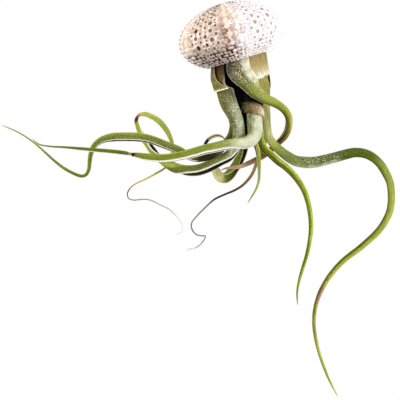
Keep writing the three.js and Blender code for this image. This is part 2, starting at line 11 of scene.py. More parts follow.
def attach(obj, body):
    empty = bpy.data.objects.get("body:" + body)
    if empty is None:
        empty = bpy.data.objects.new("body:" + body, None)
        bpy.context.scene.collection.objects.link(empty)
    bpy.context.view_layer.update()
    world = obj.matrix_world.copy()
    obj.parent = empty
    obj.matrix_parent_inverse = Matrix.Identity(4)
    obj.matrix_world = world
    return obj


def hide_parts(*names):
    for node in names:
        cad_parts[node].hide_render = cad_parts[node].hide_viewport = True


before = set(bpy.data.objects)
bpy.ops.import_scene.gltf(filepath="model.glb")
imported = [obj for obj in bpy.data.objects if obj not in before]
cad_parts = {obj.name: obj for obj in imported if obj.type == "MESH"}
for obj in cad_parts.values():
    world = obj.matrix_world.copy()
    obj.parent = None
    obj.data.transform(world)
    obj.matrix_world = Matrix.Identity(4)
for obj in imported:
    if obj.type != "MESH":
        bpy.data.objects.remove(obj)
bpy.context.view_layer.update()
MM = 0.001


# The urchin shell
# The cleaned chalky test of a sea urchin, hung mouth down by the small hole in its top. It grew as one
# thin dome of five double zones of plates, with a round boss on each plate where a spine once stood.
SHELL_RADIUS = 30.2
SHELL_HALF_HEIGHT = 18.2
SHELL_WALL = 1.8
SHELL_LEAN = math.radians(16)
TOP_HOLE_RADIUS = 2.5
MOUTH_RADIUS = 17.3
BARE_RIM = 0.02
SHELL_OUTER_STEPS = 196
SHELL_INNER_STEPS = 12
SHELL_TURN_STEPS = 432
GRAIN_HEIGHT = 0.06
GRAIN_FINENESS = 1.7
NEIGHBOURS = 4
ZONES = 5
COLUMNS_PER_ZONE = 14
FIRST_ZONE_ANGLE = math.radians(-87)
ROW_PITCH_AT_TOP = 0.95
ROW_PITCH_GROWTH = 0.055
PORE_COLUMN = 1.75
PORE_REACH = 2.0

# Bosses across half a zone: column, size as a share of the row pitch, the rows that they stand on,
# and how dark the eye painted on top of them is, a painted shade of the boss
HALF_ZONE_BOSSES = [
    (0, 0.24, (0, 1), 0.7),
    (1.05, 0.6, (0,), 0.15),
    (1.05, 0.3, (1,), 0.4),
    (1.95, 0.26, (0, 1), 0.6),
    (2.8, 0.28, (0, 1), 0.7),
    (3.75, 0.46, (1,), 1.0),
    (3.7, 0.28, (0,), 0.9),
    (5.0, 0.7, (0,), 1.0),
    (4.9, 0.28, (1,), 0.8),
    (6.35, 0.48, (1,), 1.0),
    (6.3, 0.3, (0,), 0.9),
]
JITTER = 0.09
DRAW_SEED = 11
BOSS_SIZE_RANGE = (0.8, 1.15)
BOSS_EYE_RANGE = (0.85, 1.0)
TALLEST_BOSS = 0.62
BOSS_HEIGHT = 0.8
BALL_SHARE = 0.76
COLLAR_SHARE = 0.34
COLLAR_REACH = 1.75
KNOB_SHARE = 0.14
KNOB_REACH = 0.34
EYE_MIDDLE = 2.7
EYE_FADE = 2.8

# Low on the shell the bosses are crowded: small ones are larger there, and columns more alike
LOW_FROM_DEGREES = 92
LOW_OVER_DEGREES = 22
LOW_BOSS_SIZE = 0.45
LOW_EXTRA_JITTER = 0.05
EVEN_COLUMN = 1.08


def from_screen(red, green, blue):
    """A node colour from the 0 to 255 values that a screen shows."""
    shares = [value / 255 for value in (red, green, blue)]
    return [s / 12.92 if s < 0.04 else ((s + 0.055) / 1.055) ** 2.4 for s in shares] + [1.0]


def shell_spot(polar, azimuth, lift=0.0):
    """A point a lift off the shell's smooth face, in the shell's own upright frame."""
    across = math.sin(polar) / SHELL_RADIUS
    up = math.cos(polar) / SHELL_HALF_HEIGHT
    steepness = math.hypot(across, up)
    radius = SHELL_RADIUS * math.sin(polar) + lift * across / steepness
    height = SHELL_HALF_HEIGHT * math.cos(polar) + lift * up / steepness
    return Vector((radius * math.cos(azimuth), radius * math.sin(azimuth), height))


def boss_rows(first_polar, last_polar):
    """Polar angle and pitch of each row of plates, closer together where the shell is narrow."""
    rows = []
    polar = first_polar
    while polar < last_polar:
        pitch = ROW_PITCH_AT_TOP + ROW_PITCH_GROWTH * SHELL_RADIUS * math.sin(polar)
        slope = math.hypot(SHELL_RADIUS * math.cos(polar), SHELL_HALF_HEIGHT * math.sin(polar))
        rows.append((polar, pitch))
        polar += pitch / slope
    return rows[1:]


def scatter_bosses(rows):
    """Every boss as its centre, radius, height and eye, with the small unevenness of growth."""
    draw = random.Random(DRAW_SEED)
    bosses = []
    for zone in range(ZONES):
        for column, size, parities, eye in HALF_ZONE_BOSSES:
            for mirrored in (False, True):
                for row, (polar, pitch) in enumerate(rows):
                    if (row + mirrored) % 2 not in parities:
                        continue
                    low = min(1.0, max(0.0, (math.degrees(polar) - LOW_FROM_DEGREES) / LOW_OVER_DEGREES))
                    stand = column + (EVEN_COLUMN * round(column) - column) * low
                    stand = COLUMNS_PER_ZONE - stand if mirrored else stand
                    azimuth = FIRST_ZONE_ANGLE + math.tau * (zone + stand / COLUMNS_PER_ZONE) / ZONES
                    grown = size + max(0.0, LOW_BOSS_SIZE - size) * low
                    radius = grown * pitch * draw.uniform(*BOSS_SIZE_RANGE)
                    uneven = (JITTER + LOW_EXTRA_JITTER * low) * pitch
                    sideways = draw.gauss(0, uneven) / (SHELL_RADIUS * math.sin(polar))
                    down = draw.gauss(0, uneven) / SHELL_RADIUS
                    centre = shell_spot(polar + down, azimuth + sideways)
                    height = min(TALLEST_BOSS, radius * BOSS_HEIGHT)
                    bosses.append((centre, radius, height, eye * draw.uniform(*BOSS_EYE_RANGE)))
    return bosses


def boss_lift(distance, radius, height):
    """Profile of one boss: a ball on a low round collar, with a small knob where the spine turned."""
    ball = math.sqrt(max(0.0, 1 - (distance / radius) ** 2))
    collar = max(0.0, 1 - distance / (COLLAR_REACH * radius))
    knob = max(0.0, 1 - (distance / (KNOB_REACH * radius)) ** 2)
    return height * (BALL_SHARE * ball + COLLAR_SHARE * collar * collar + KNOB_SHARE * knob)


def eye_darkness(distance, radius, eye):
    """How dark the eye of one boss is, a painted shade spot: even in the middle, and fading out just inside
    its edge.
    """
    return eye * min(1.0, max(0.0, EYE_MIDDLE - EYE_FADE * distance / radius))


first_polar = math.asin(TOP_HOLE_RADIUS / SHELL_RADIUS)
last_polar = math.pi - math.asin(MOUTH_RADIUS / SHELL_RADIUS)
bosses = scatter_bosses(boss_rows(first_polar, last_polar - BARE_RIM))
boss_tree = kdtree.KDTree(len(bosses))
for index, boss in enumerate(bosses):
    boss_tree.insert(boss[0], index)
boss_tree.balance()

bm = bmesh.new()
outline = []
for step in range(SHELL_OUTER_STEPS + 1):
    polar = first_polar + (last_polar - first_polar) * step / SHELL_OUTER_STEPS
    outline.append(bm.verts.new(shell_spot(polar, 0)))
for step in range(SHELL_INNER_STEPS, -1, -1):
    polar = first_polar + (last_polar - first_polar) * step / SHELL_INNER_STEPS
    outline.append(bm.verts.new(shell_spot(polar, 0, -SHELL_WALL)))
rim_edges = [bm.edges.new((outline[k - 1], outline[k])) for k in range(len(outline))]
bmesh.ops.spin(
    bm,
    geom=outline + rim_edges,
    cent=(0, 0, 0),
    axis=(0, 0, 1),
    angle=math.tau,
    steps=SHELL_TURN_STEPS,
    use_merge=True,
)
bmesh.ops.recalc_face_normals(bm, faces=bm.faces)
rise_layer, eye_layer, pores_layer, depth_layer = (
    bm.verts.layers.float.new(name) for name in ("rise", "eye", "pores", "depth")
)
for vert in bm.verts:
    radius = math.hypot(vert.co.x, vert.co.y)
    level = (radius / SHELL_RADIUS) ** 2 + (vert.co.z / SHELL_HALF_HEIGHT) ** 2
    on_inner_face = level < 0.98
    if on_inner_face:
        vert[rise_layer] = 0.5
        continue
    lift, dark = 0.0, 0.0
    for centre, index, distance in boss_tree.find_n(vert.co, NEIGHBOURS):
        boss_radius, boss_height, boss_eye = bosses[index][1:]
        lift = max(lift, boss_lift(distance, boss_radius, boss_height))
        dark = max(dark, eye_darkness(distance, boss_radius, boss_eye))
    azimuth = math.atan2(vert.co.y, vert.co.x)
    column = ((azimuth - FIRST_ZONE_ANGLE) / math.tau * ZONES % 1) * COLUMNS_PER_ZONE
    column = min(column, COLUMNS_PER_ZONE - column)
    vert[rise_layer] = lift
    vert[eye_layer] = dark
    vert[depth_layer] = 0.5 - 0.5 * vert.co.z / SHELL_HALF_HEIGHT
    vert[pores_layer] = max(0.0, 1 - abs(column - PORE_COLUMN) / PORE_REACH)
    grain = GRAIN_HEIGHT * noise.noise(vert.co * GRAIN_FINENESS)
    polar = math.atan2(radius / SHELL_RADIUS, vert.co.z / SHELL_HALF_HEIGHT)
    vert.co = shell_spot(polar, azimuth, lift + grain)
upright = Matrix.Translation((0, 0, -SHELL_HALF_HEIGHT))
bmesh.ops.transform(
    bm,
    matrix=Matrix.Scale(MM, 4) @ Matrix.Rotation(-SHELL_LEAN, 4, "Y") @ upright,
    verts=bm.verts,
)


def object_from(name, bm):
    """A finished bmesh as an object in the scene, at the origin."""
    mesh = bpy.data.meshes.new(name)
    bm.to_mesh(mesh)
    bm.free()
    made = bpy.data.objects.new(name, mesh)
    bpy.context.scene.collection.objects.link(made)
    return made


shell = object_from("shell", bm)
shell.data.shade_smooth()


def connect(tree, node, inputs):
    """Inputs of a node. One that is another node's socket is linked, and the others are set."""
    for name, value in inputs.items():
        if isinstance(value, bpy.types.NodeSocket):
            tree.links.new(value, node.inputs[name])
        else:
            node.inputs[name].default_value = value


def place(tree, kind, inputs, **settings):
    """A new node with its settings and inputs."""
    made = tree.nodes.new(kind)
    for name, value in settings.items():
        setattr(made, name, value)
    connect(tree, made, inputs)
    return made


def figure(tree, operation, first, second=0.0, held=True):
    """The result of a sum on two values or sockets, held between 0 and 1 unless told otherwise."""
    made = place(tree, "ShaderNodeMath", {0: first, 1: second}, operation=operation, use_clamp=held)
    return made.outputs[0]


def product(tree, *masks):
    """Masks multiplied together, one after the other."""
    result = masks[0]
    for mask in masks[1:]:
        result = figure(tree, "MULTIPLY", result, mask)
    return result


def opposite(tree, mask):
    """What a mask leaves over."""
    return figure(tree, "SUBTRACT", 1.0, mask)


def scaled(tree, value, factor, extra):
    """A value times a factor plus an extra, not held to any bounds."""
    inputs = {0: value, 1: factor, 2: extra}
    return place(tree, "ShaderNodeMath", inputs, operation="MULTIPLY_ADD").outputs[0]


def ease(tree, value, low, high):
    """A mask that rises smoothly from 0 to 1 as the value goes from low to high."""
    inputs = {"Value": value, "From Min": low, "From Max": high}
    return place(tree, "ShaderNodeMapRange", inputs, interpolation_type="SMOOTHSTEP").outputs[0]


def mixed(tree, share, first, second, blend="MIX"):
    """Two colours mixed by a share. A colour is a socket, or a tuple of 0 to 255 values."""
    first, second = (from_screen(*c) if isinstance(c, tuple) else c for c in (first, second))
    inputs = {0: share, 6: first, 7: second}
    return place(tree, "ShaderNodeMix", inputs, data_type="RGBA", blend_type=blend).outputs[2]


def clouds(tree, where, scale, detail):
    """Soft noise at the given scale."""
    inputs = {"Vector": where, "Scale": scale, "Detail": detail}
    return place(tree, "ShaderNodeTexNoise", inputs).outputs[0]


def reading(tree, name, output="Fac"):
    """The value of one of a piece's own attributes."""
    return place(tree, "ShaderNodeAttribute", {}, attribute_name=name).outputs[output]


def own_place(tree):
    """Where on its object a point lies."""
    return tree.nodes.new("ShaderNodeTexCoord").outputs["Object"]


def new_material(name):
    """A material with its Principled shader, and the tree that holds it."""
    made = bpy.data.materials.new(name)
    made.use_nodes = True
    return made, made.node_tree, made.node_tree.nodes["Principled BSDF"]


def dress(tree, skin, colour, relief, relief_depth, roughness):
    """Colour, relief in metres and roughness on a material's shader."""
    normal = place(tree, "ShaderNodeBump", {"Height": relief, "Distance": relief_depth}).outputs[0]
    connect(tree, skin, {"Base Color": colour, "Normal": normal, "Roughness": roughness})


# Where the shell turns paler towards the right, partly its own paler tone and partly a painted
# highlight of the strong light from that side, and where its brown stain ends, across the shell from left
# to right
PALE_LIT_FROM = 5 * MM
PALE_LIT_TO = 16 * MM
STAIN_FROM = -18 * MM
STAIN_TO = -10 * MM
RAGGED_BY = 12 * MM
SHIFT_WITH_DEPTH = -8 * MM

chalk, tree, skin = new_material("chalky shell")
spots = own_place(tree)
rise, eye, pores, depth = (reading(tree, name) for name in ("rise", "eye", "pores", "depth"))
patches = clouds(tree, spots, 90, 3)
mottle = clouds(tree, spots, 420, 2)
grain = clouds(tree, spots, 2600, 4)
holes = place(tree, "ShaderNodeTexVoronoi", {"Vector": spots, "Scale": 1300}).outputs["Distance"]
lower = ease(tree, figure(tree, "ADD", depth, product(tree, patches, 0.24)), 0.68, 0.84)
side = place(tree, "ShaderNodeSeparateXYZ", {"Vector": spots}).outputs["X"]
side = scaled(tree, patches, RAGGED_BY, side)
side = scaled(tree, depth, SHIFT_WITH_DEPTH, side)
# Paler and cooler towards the right: partly the shell's own tone, partly a painted highlight where the
# strong light from the right falls. It also keeps the painted shade of the gaps and eyes off that side.
pale_lit_side = ease(tree, side, PALE_LIT_FROM, PALE_LIT_TO)
left_of_pale_lit_side = opposite(tree, pale_lit_side)
cream = mixed(tree, ease(tree, patches, 0.4, 0.62), (249, 229, 211), (251, 239, 226))
ground = mixed(tree, pale_lit_side, cream, (250, 245, 247))
pore_band = product(tree, ease(tree, pores, 0, 0.8), ease(tree, mottle, 0.32, 0.56))
pore_band = product(tree, pore_band, ease(tree, grain, 0.3, 0.55), left_of_pale_lit_side, ease(tree, depth, 0.15, 0.4))
pore_band = product(tree, pore_band, ease(tree, side, STAIN_FROM, STAIN_TO), 0.85)
ground = mixed(tree, pore_band, ground, (178, 130, 104))
upper_pits = mixed(tree, pale_lit_side, (204, 174, 152), (220, 208, 211))
upper_pits = mixed(tree, ease(tree, mottle, 0.36, 0.58), ground, upper_pits)
# Low on the shell, left of the pale lit side, the gaps between the bosses are painted dark brown: painted
# shade where the lower shell falls in shadow.
shaded_low_gaps = mixed(tree, pale_lit_side, (80, 44, 34), (238, 224, 221))
hollow = mixed(tree, lower, upper_pits, shaded_low_gaps)
hollow = mixed(tree, pore_band, hollow, (106, 62, 42))
# Bosses low down are coloured a little narrower, so that more of the painted shade between them shows.
sunk = scaled(tree, product(tree, lower, left_of_pale_lit_side), -0.12, rise)
low_part = mixed(tree, ease(tree, sunk, 0.01, 0.2), hollow, ground)
whiter = figure(tree, "ADD", pale_lit_side, product(tree, lower, 0.8))
boss_top = mixed(tree, whiter, (246, 227, 215), (252, 244, 244))
raised = mixed(tree, ease(tree, sunk, 0.12, 0.4), low_part, boss_top)
# A dark eye painted on each boss, darkest away from the pale lit right and fainter low down: painted shade
# standing in for the shade on the bosses.
eye_shade = product(tree, eye, figure(tree, "ADD", left_of_pale_lit_side, ease(tree, eye, 0.4, 0.9)))
eye_shade = product(tree, eye_shade, opposite(tree, product(tree, lower, left_of_pale_lit_side, 0.2)))
with_eye_shade = mixed(tree, eye_shade, raised, mixed(tree, pale_lit_side, (70, 36, 22), (166, 148, 152)))
pinholes = opposite(tree, ease(tree, holes, 0.1, 0.32))
pinholes = product(tree, pinholes, opposite(tree, ease(tree, rise, 0.1, 0.4)))
speckled = mixed(tree, product(tree, left_of_pale_lit_side, 0.6, pinholes), with_eye_shade, (120, 84, 64))
dust = product(tree, ease(tree, rise, 0.1, 0.6), 0.3, ease(tree, grain, 0.5, 0.75), opposite(tree, eye_shade))
dusty = mixed(tree, dust, speckled, (246, 236, 228))
relief = figure(tree, "SUBTRACT", grain, product(tree, pinholes, 0.5))
dress(tree, skin, dusty, relief, 0.12 * MM, 0.85)
skin.inputs["Specular IOR Level"].default_value = 0.08
shell.data.materials.append(chalk)
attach(shell, "root")
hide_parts("urchin_shell")


# The dab of glue and the stem base
# Clear craft glue run into the top of the shell, and the short woody base on which the sheaths sit,
# with the frayed ends of old sheaths round it. Both are hidden in the shell and keep their solids.
glue, tree, skin = new_material("set glue")
ripple = clouds(tree, own_place(tree), 420, 2)
clouded = mixed(tree, ease(tree, ripple, 0.4, 0.7), (222, 212, 186), (240, 234, 216))
dress(tree, skin, clouded, ripple, 0.3 * MM, 0.28)

wood, tree, skin = new_material("fibrous stem base")
drawn = place(tree, "ShaderNodeMapping", {"Vector": own_place(tree), "Scale": (1.0, 1.0, 0.15)}).outputs[0]
fibres = clouds(tree, drawn, 1400, 4)
brown = mixed(tree, ease(tree, fibres, 0.35, 0.7), (58, 40, 26), (128, 98, 66))
dress(tree, skin, brown, fibres, 0.4 * MM, 0.9)

for node, finish in (("glue_dab", glue), ("stem_base", wood)):
    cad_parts[node].material_slots[0].material = finish


# The front leaf, which loops behind the others
# A living leaf: a broad sheath in the bulb that rolls up into a slim channelled blade. This one starts
# at the front of the bulb, bends right behind two more leaves and comes round into a dried brown tail.
LEAF_WALL = 0.75
THICKEST_WALL_SHARE = 0.72
EDGE_THINNING = 0.35
EDGE_BULGE = 0.4
LAYER_PITCH = 1.45
BULB_RADIUS = 16.1
BULB_WIDEST = 31
BULB_LENGTH = 26
SHEATH_STATIONS = [10, 14, 19, 25, 31]
SHEATH_RADIUS = 8
BLADE_RADIUS = 4
STATION_SPACING = 0.95
TIP_RADIUS = 2
TIP_TAPER = 4.0
TIP_WIDTH = 0.25
RADIUS_UNEVENNESS = 0.02
RADIUS_WAVE = 7
SPREAD_UNEVENNESS = 0.022
SPREAD_WAVE = 3.1
FULL_EDGE_RADIUS = 2.8
LEAST_EDGE = 0.22
SHARP_ANGLE = math.radians(62)
STREAK_SHARE = 0.7


def axis_point(depth):
    """A point on the bulb's axis, a distance down from the hole in the shell."""
    return [depth * math.sin(SHELL_LEAN), 0, -depth * math.cos(SHELL_LEAN)]


def sheath_rows(azimuth, half_spread, layer):
    """Rows of a sheath inside the shell. Azimuth is 0 at the right and 90 at the back, in degrees.
    A row is x, y, z, radius of the rolled section, roll of its opening and half its spread. It may
    leave out its last values, which then stay as they are in the row before. A roll of 0 opens to
    the front, and 90 to the left of a leaf that hangs straight down."""
    rows = []
    for depth in SHEATH_STATIONS:
        swell = math.sqrt(1 - ((BULB_WIDEST - depth) / BULB_LENGTH) ** 2)
        radius = BULB_RADIUS * swell - layer * LAYER_PITCH
        rows.append(axis_point(depth) + [radius, 90 - azimuth, half_spread])
    return rows


def full_rows(rows):
    """The rows with the values that they leave out."""
    full = [rows[0]]
    for row in rows[1:]:
        full.append(row + full[-1][len(row):])
    return full


def blend_rows(rows, span, t):
    """One point of a smooth curve through the rows, all six values together."""
    start, end = rows[span], rows[span + 1]
    before = rows[span - 1] if span else [2 * a - b for a, b in zip(start, end)]
    after = rows[span + 2] if span + 2 < len(rows) else [2 * b - a for a, b in zip(start, end)]
    d0, d1, d2 = (
        math.sqrt(math.dist(a[:3], b[:3])) for a, b in ((before, start), (start, end), (end, after))
    )
    point = []
    for p0, p1, p2, p3 in zip(before, start, end, after):
        m1 = d1 * ((p1 - p0) / d0 - (p2 - p0) / (d0 + d1) + (p2 - p1) / d1)
        m2 = d1 * ((p2 - p1) / d1 - (p3 - p1) / (d1 + d2) + (p3 - p2) / d2)
        bend = 2 * (p1 - p2) + m1 + m2
        point.append(p1 + m1 * t + (3 * (p2 - p1) - 2 * m1 - m2) * t * t + bend * t ** 3)
    return point


def leaf_stations(rows, seed):
    """The leaf's cross-sections: centre, opening, side, radius, half spreads, wall and run along it."""
    points = []
    for span in range(len(rows) - 1):
        steps = max(2, math.ceil(math.dist(rows[span][:3], rows[span + 1][:3]) / STATION_SPACING))
        points += [blend_rows(rows, span, step / steps) for step in range(steps)]
    points.append(list(rows[-1]))
    centres = [Vector(point[:3]) for point in points]
    last = len(points) - 1
    runs = [0.0]
    for k in range(last):
        runs.append(runs[-1] + (centres[k + 1] - centres[k]).length)
    bulb_axis = Vector(axis_point(1))
    stations = []
    for k, point in enumerate(points):
        radius, roll, half_spread = point[3:]
        tangent = (centres[min(k + 1, last)] - centres[max(k - 1, 0)]).normalized()
        broad = min(1.0, max(0.0, (radius - BLADE_RADIUS) / (SHEATH_RADIUS - BLADE_RADIUS)))
        course = tangent.lerp(bulb_axis, broad).normalized()
        front = Vector((0, -1, 0))
        front = (front - course * front.dot(course)).normalized()
        opening = Matrix.Rotation(math.radians(roll), 3, course) @ front
        side = course.cross(opening)
        end = min(1.0, (runs[last] - runs[k]) / TIP_TAPER) if radius < TIP_RADIUS else 1.0
        swell = 1 + RADIUS_UNEVENNESS * noise.noise(Vector((runs[k] / RADIUS_WAVE, seed, 0)))
        radius *= swell * (TIP_WIDTH + (1 - TIP_WIDTH) * math.sqrt(end))
        spreads = []
        for edge in (3, 8):
            unevenness = SPREAD_UNEVENNESS * noise.noise(Vector((runs[k] / SPREAD_WAVE, seed, edge)))
            spreads.append(math.radians(half_spread) * (1 + unevenness))
        wall = min(LEAF_WALL, THICKEST_WALL_SHARE * radius)
        stations.append((centres[k], opening, side, radius, spreads, wall, runs[k]))
    return stations


def section_point(station, across, depth):
    """A point of a cross-section, and how far it is round the section and from the leaf's edge.
    Across runs from -1 to 1 between the two edges, and depth from 0 outside to 1 in the channel."""
    centre, opening, side, radius, spreads, wall, run = station
    spread = spreads[across > 0]
    thickness = wall * (1 - EDGE_THINNING * across * across)
    angle = spread * across
    if 0 < depth < 1:
        angle += math.copysign(EDGE_BULGE * thickness / radius, across)
    distance = radius - depth * thickness
    point = centre - distance * math.cos(angle) * opening + distance * math.sin(angle) * side
    return point, radius * angle, radius * spread * (1 - abs(across))


def torn_reach(across, tear, cut, seed):
    """How far down a torn edge reaches at one place across it, as a share of the leaf's length.
    A cut takes off more towards the right side of the leaf, and a cut below zero towards the left."""
    slow = 0.5 + 0.5 * noise.noise(Vector((across * 2.3, seed, 1)))
    raggedness = 0.6 * noise.noise(Vector((across * 4, seed, 5)))
    teeth = abs((across * 5.3 + seed * 0.37 + raggedness) % 1 - 0.5) * 2
    return 1 - tear * (0.55 * slow + 0.45 * teeth) - (cut * across + abs(cut)) / 2


def make_leaf(node, rows, seed, columns=14, tear=0.0, cut=0.0):
    """A closed, thin, channel-shaped leaf in place of its solid, with its own maps for the material."""
    stations = leaf_stations(full_rows(rows), seed)
    last = len(stations) - 1
    section = [(2 * j / columns - 1, 0.0) for j in range(columns + 1)] + [(1.0, 0.5)]
    section += [(1 - 2 * j / columns, 1.0) for j in range(columns + 1)] + [(-1.0, 0.5)]
    ring = len(section)
    bm = bmesh.new()
    bmesh.ops.create_grid(bm, x_segments=last, y_segments=ring, size=0.5)
    map_layer = bm.verts.layers.float_vector.new("leaf_map")
    share_layer, edge_layer, across_layer = (
        bm.verts.layers.float.new(name) for name in ("share", "edge_distance", "across")
    )
    seam = []
    for vert in bm.verts:
        i = round((vert.co.x + 0.5) * last)
        j = round((vert.co.y + 0.5) * ring)
        across, depth = section[j % ring]
        reach = torn_reach(across, tear, cut, seed) if tear else 1.0
        k, part = divmod(i * reach, 1)
        k = int(k)
        point, around, edge = section_point(stations[k], across, depth)
        run = stations[k][6]
        if part:
            further, far_around = section_point(stations[k + 1], across, depth)[:2]
            point = point.lerp(further, part)
            around += (far_around - around) * part
            run += (stations[k + 1][6] - run) * part
        vert.co = point * MM
        vert[map_layer] = (run, around, depth)
        vert[share_layer] = run / stations[last][6]
        vert[edge_layer] = edge / min(1.0, max(LEAST_EDGE, stations[k][3] / FULL_EDGE_RADIUS))
        vert[across_layer] = across
        if j % ring == 0:
            seam.append(vert)
    bmesh.ops.remove_doubles(bm, verts=seam, dist=1e-7)
    for at_start in (True, False):
        open_edges = [edge for edge in bm.edges if edge.is_boundary]
        loop = [edge for edge in open_edges if (edge.verts[0][map_layer].x < 1e-6) == at_start]
        outer, inner = (
            [edge for edge in loop if all(vert[map_layer].z == depth for vert in edge.verts)]
            for depth in (0, 1)
        )
        bmesh.ops.bridge_loops(bm, edges=outer + inner)
    bmesh.ops.holes_fill(bm, edges=[edge for edge in bm.edges if edge.is_boundary], sides=4)
    bmesh.ops.recalc_face_normals(bm, faces=bm.faces)
    leaf = object_from(f"{node}_grown", bm)
    leaf.data.shade_smooth()
    leaf.data.set_sharp_from_angle(angle=SHARP_ANGLE)
    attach(leaf, "root")
    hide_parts(node)
    return leaf


def scurfy_skin_group():
    """The leaf skin that every leaf shares: fine streaks, a painted shade that darkens the green towards
    one side, dark specks, a silvery scurf, thicker on the lit side of some leaves, partly real scurf and
    partly a painted highlight, pale edges and a channel coloured from its own stops, near black where it
    is painted shade. A lit scurf side below zero means the side where across is negative."""
    group = bpy.data.node_groups.new("scurfy leaf skin", "ShaderNodeTree")
    wanted = {
        ("INPUT", "NodeSocketColor"): ["Skin", "Scurf", "Edge", "Channel"],
        ("INPUT", "NodeSocketFloat"): [
            "Scurf amount", "Edge width", "Silver side", "Silver start", "Deep side", "Deep start",
        ],
        ("OUTPUT", "NodeSocketColor"): ["Colour"],
        ("OUTPUT", "NodeSocketFloat"): ["Roughness", "Height"],
    }
    for (way, kind), names in wanted.items():
        for name in names:
            group.interface.new_socket(name, in_out=way, socket_type=kind)
    given = group.nodes.new("NodeGroupInput").outputs
    leaf_map = reading(group, "leaf_map", "Vector")
    edge, across = (reading(group, name) for name in ("edge_distance", "across"))
    inside = place(group, "ShaderNodeSeparateXYZ", {"Vector": leaf_map}).outputs["Z"]
    spots = own_place(group)
    drawn = place(group, "ShaderNodeMapping", {"Vector": leaf_map, "Scale": (0.07, 2.1, 1.0)}).outputs[0]
    streaks = clouds(group, drawn, 1, 3)
    patches = clouds(group, spots, 300, 3)
    flecks = clouds(group, spots, 2100, 3)
    fine = clouds(group, spots, 3400, 2)
    darker = mixed(group, 1.0, given["Skin"], (206, 208, 190), "MULTIPLY")
    lighter = mixed(group, 1.0, given["Skin"], [1.6, 1.56, 1.3, 1.0], "MULTIPLY")
    lined = mixed(group, ease(group, streaks, 0.36, 0.66), darker, lighter)
    streaked = mixed(group, STREAK_SHARE, given["Skin"], lined)
    mottled = mixed(group, product(group, ease(group, patches, 0.42, 0.7), 0.35), streaked, darker)

    # Thicker silvery scurf on one side of some leaves: partly real scurf, partly a painted highlight on the
    # side the light comes from.
    lit_scurf_sign = figure(group, "SIGN", given["Silver side"], held=False)
    beyond = scaled(group, across, lit_scurf_sign, 0.0)
    beyond = figure(group, "SUBTRACT", beyond, given["Silver start"], held=False)
    lit_scurf = figure(group, "ABSOLUTE", given["Silver side"], held=False)
    thick = ease(group, given["Scurf amount"], 0.3, 0.7)
    lit_scurf = product(group, lit_scurf, ease(group, beyond, 0.0, 0.5), thick)
    amount = scaled(group, lit_scurf, 0.8, given["Scurf amount"])

    # Painted shade: the skin darkens towards one edge, with a speckled border, standing in for the shade on
    # the side of the leaf that faces away from the light.
    speckled = scaled(group, flecks, 1.3, -0.65)
    painted_shade_parts = []
    for side in (1.0, -1.0):
        reach = scaled(group, across, side, speckled)
        reach = figure(group, "SUBTRACT", reach, given["Deep start"], held=False)
        painted_shade_parts.append(product(group, given["Deep side"], side, ease(group, reach, 0.0, 0.4)))
    painted_shade_side = figure(group, "ADD", *painted_shade_parts)
    shaded = mixed(group, painted_shade_side, mottled, mixed(group, 1.0, mottled, (132, 133, 66), "MULTIPLY"))
    # Dark specks, the leaf's own, laid on more thickly on the painted shade side.
    specks = figure(group, "ADD", product(group, painted_shade_side, 0.5), given["Scurf amount"])
    specks = product(group, specks, opposite(group, ease(group, flecks, 0.34, 0.5)))
    shaded = mixed(group, specks, shaded, mixed(group, 1.0, shaded, (116, 118, 70), "MULTIPLY"))

    sparse = {"Value": amount, "To Min": 0.68, "To Max": 0.46}
    sparse = place(group, "ShaderNodeMapRange", sparse, clamp=False).outputs[0]
    fleck = ease(group, figure(group, "SUBTRACT", flecks, sparse, held=False), -0.02, 0.1)
    where = figure(group, "ADD", product(group, ease(group, patches, 0.36, 0.6), 0.6), 0.4)
    scurf = product(group, where, opposite(group, product(group, painted_shade_side, 0.6)), fleck)
    scurf_and_highlight = mixed(group, product(group, lit_scurf, 0.5), shaded, given["Scurf"])
    scurfy = mixed(group, scurf, scurf_and_highlight, given["Scurf"])

    ragged = figure(group, "SUBTRACT", scaled(group, flecks, 0.9, edge), 0.45, held=False)
    edge_share = figure(group, "DIVIDE", ragged, given["Edge width"], held=False)
    paleness = place(group, "ShaderNodeRGBToBW", {"Color": given["Skin"]}).outputs["Val"]
    border = opposite(group, ease(group, edge_share, 0.35, 1.0))
    border = product(group, border, ease(group, paleness, 0.04, 0.16), 0.95)
    edged = mixed(group, border, scurfy, given["Edge"])
    # The inner face takes the channel colour, which on most leaves is painted near black: painted shade in
    # the groove.
    deep = product(group, ease(group, inside, 0.55, 1.0), 0.92)
    rough = place(group, "ShaderNodeMapRange", {"Value": scurf, "To Min": 0.6, "To Max": 0.9}).outputs[0]
    ribs = figure(group, "ADD", product(group, streaks, 0.55), product(group, fine, 0.2))
    results = {
        "Colour": mixed(group, deep, edged, given["Channel"]),
        "Roughness": rough,
        "Height": figure(group, "ADD", ribs, product(group, scurf, 0.35)),
    }
    place(group, "NodeGroupOutput", results)
    return group


leaf_skin = scurfy_skin_group()


def colour_stops(tree, place_along, stops):
    """A colour ramp with the given stops: place, colour, and any value for its alpha."""
    ramp = place(tree, "ShaderNodeValToRGB", {"Fac": place_along})
    elements = ramp.color_ramp.elements
    while len(elements) < len(stops):
        elements.new(1.0)
    for element, (position, colour, *value) in zip(elements, stops):
        element.position = position
        element.color = from_screen(*colour)[:3] + (value or [0.5])
    return ramp.outputs


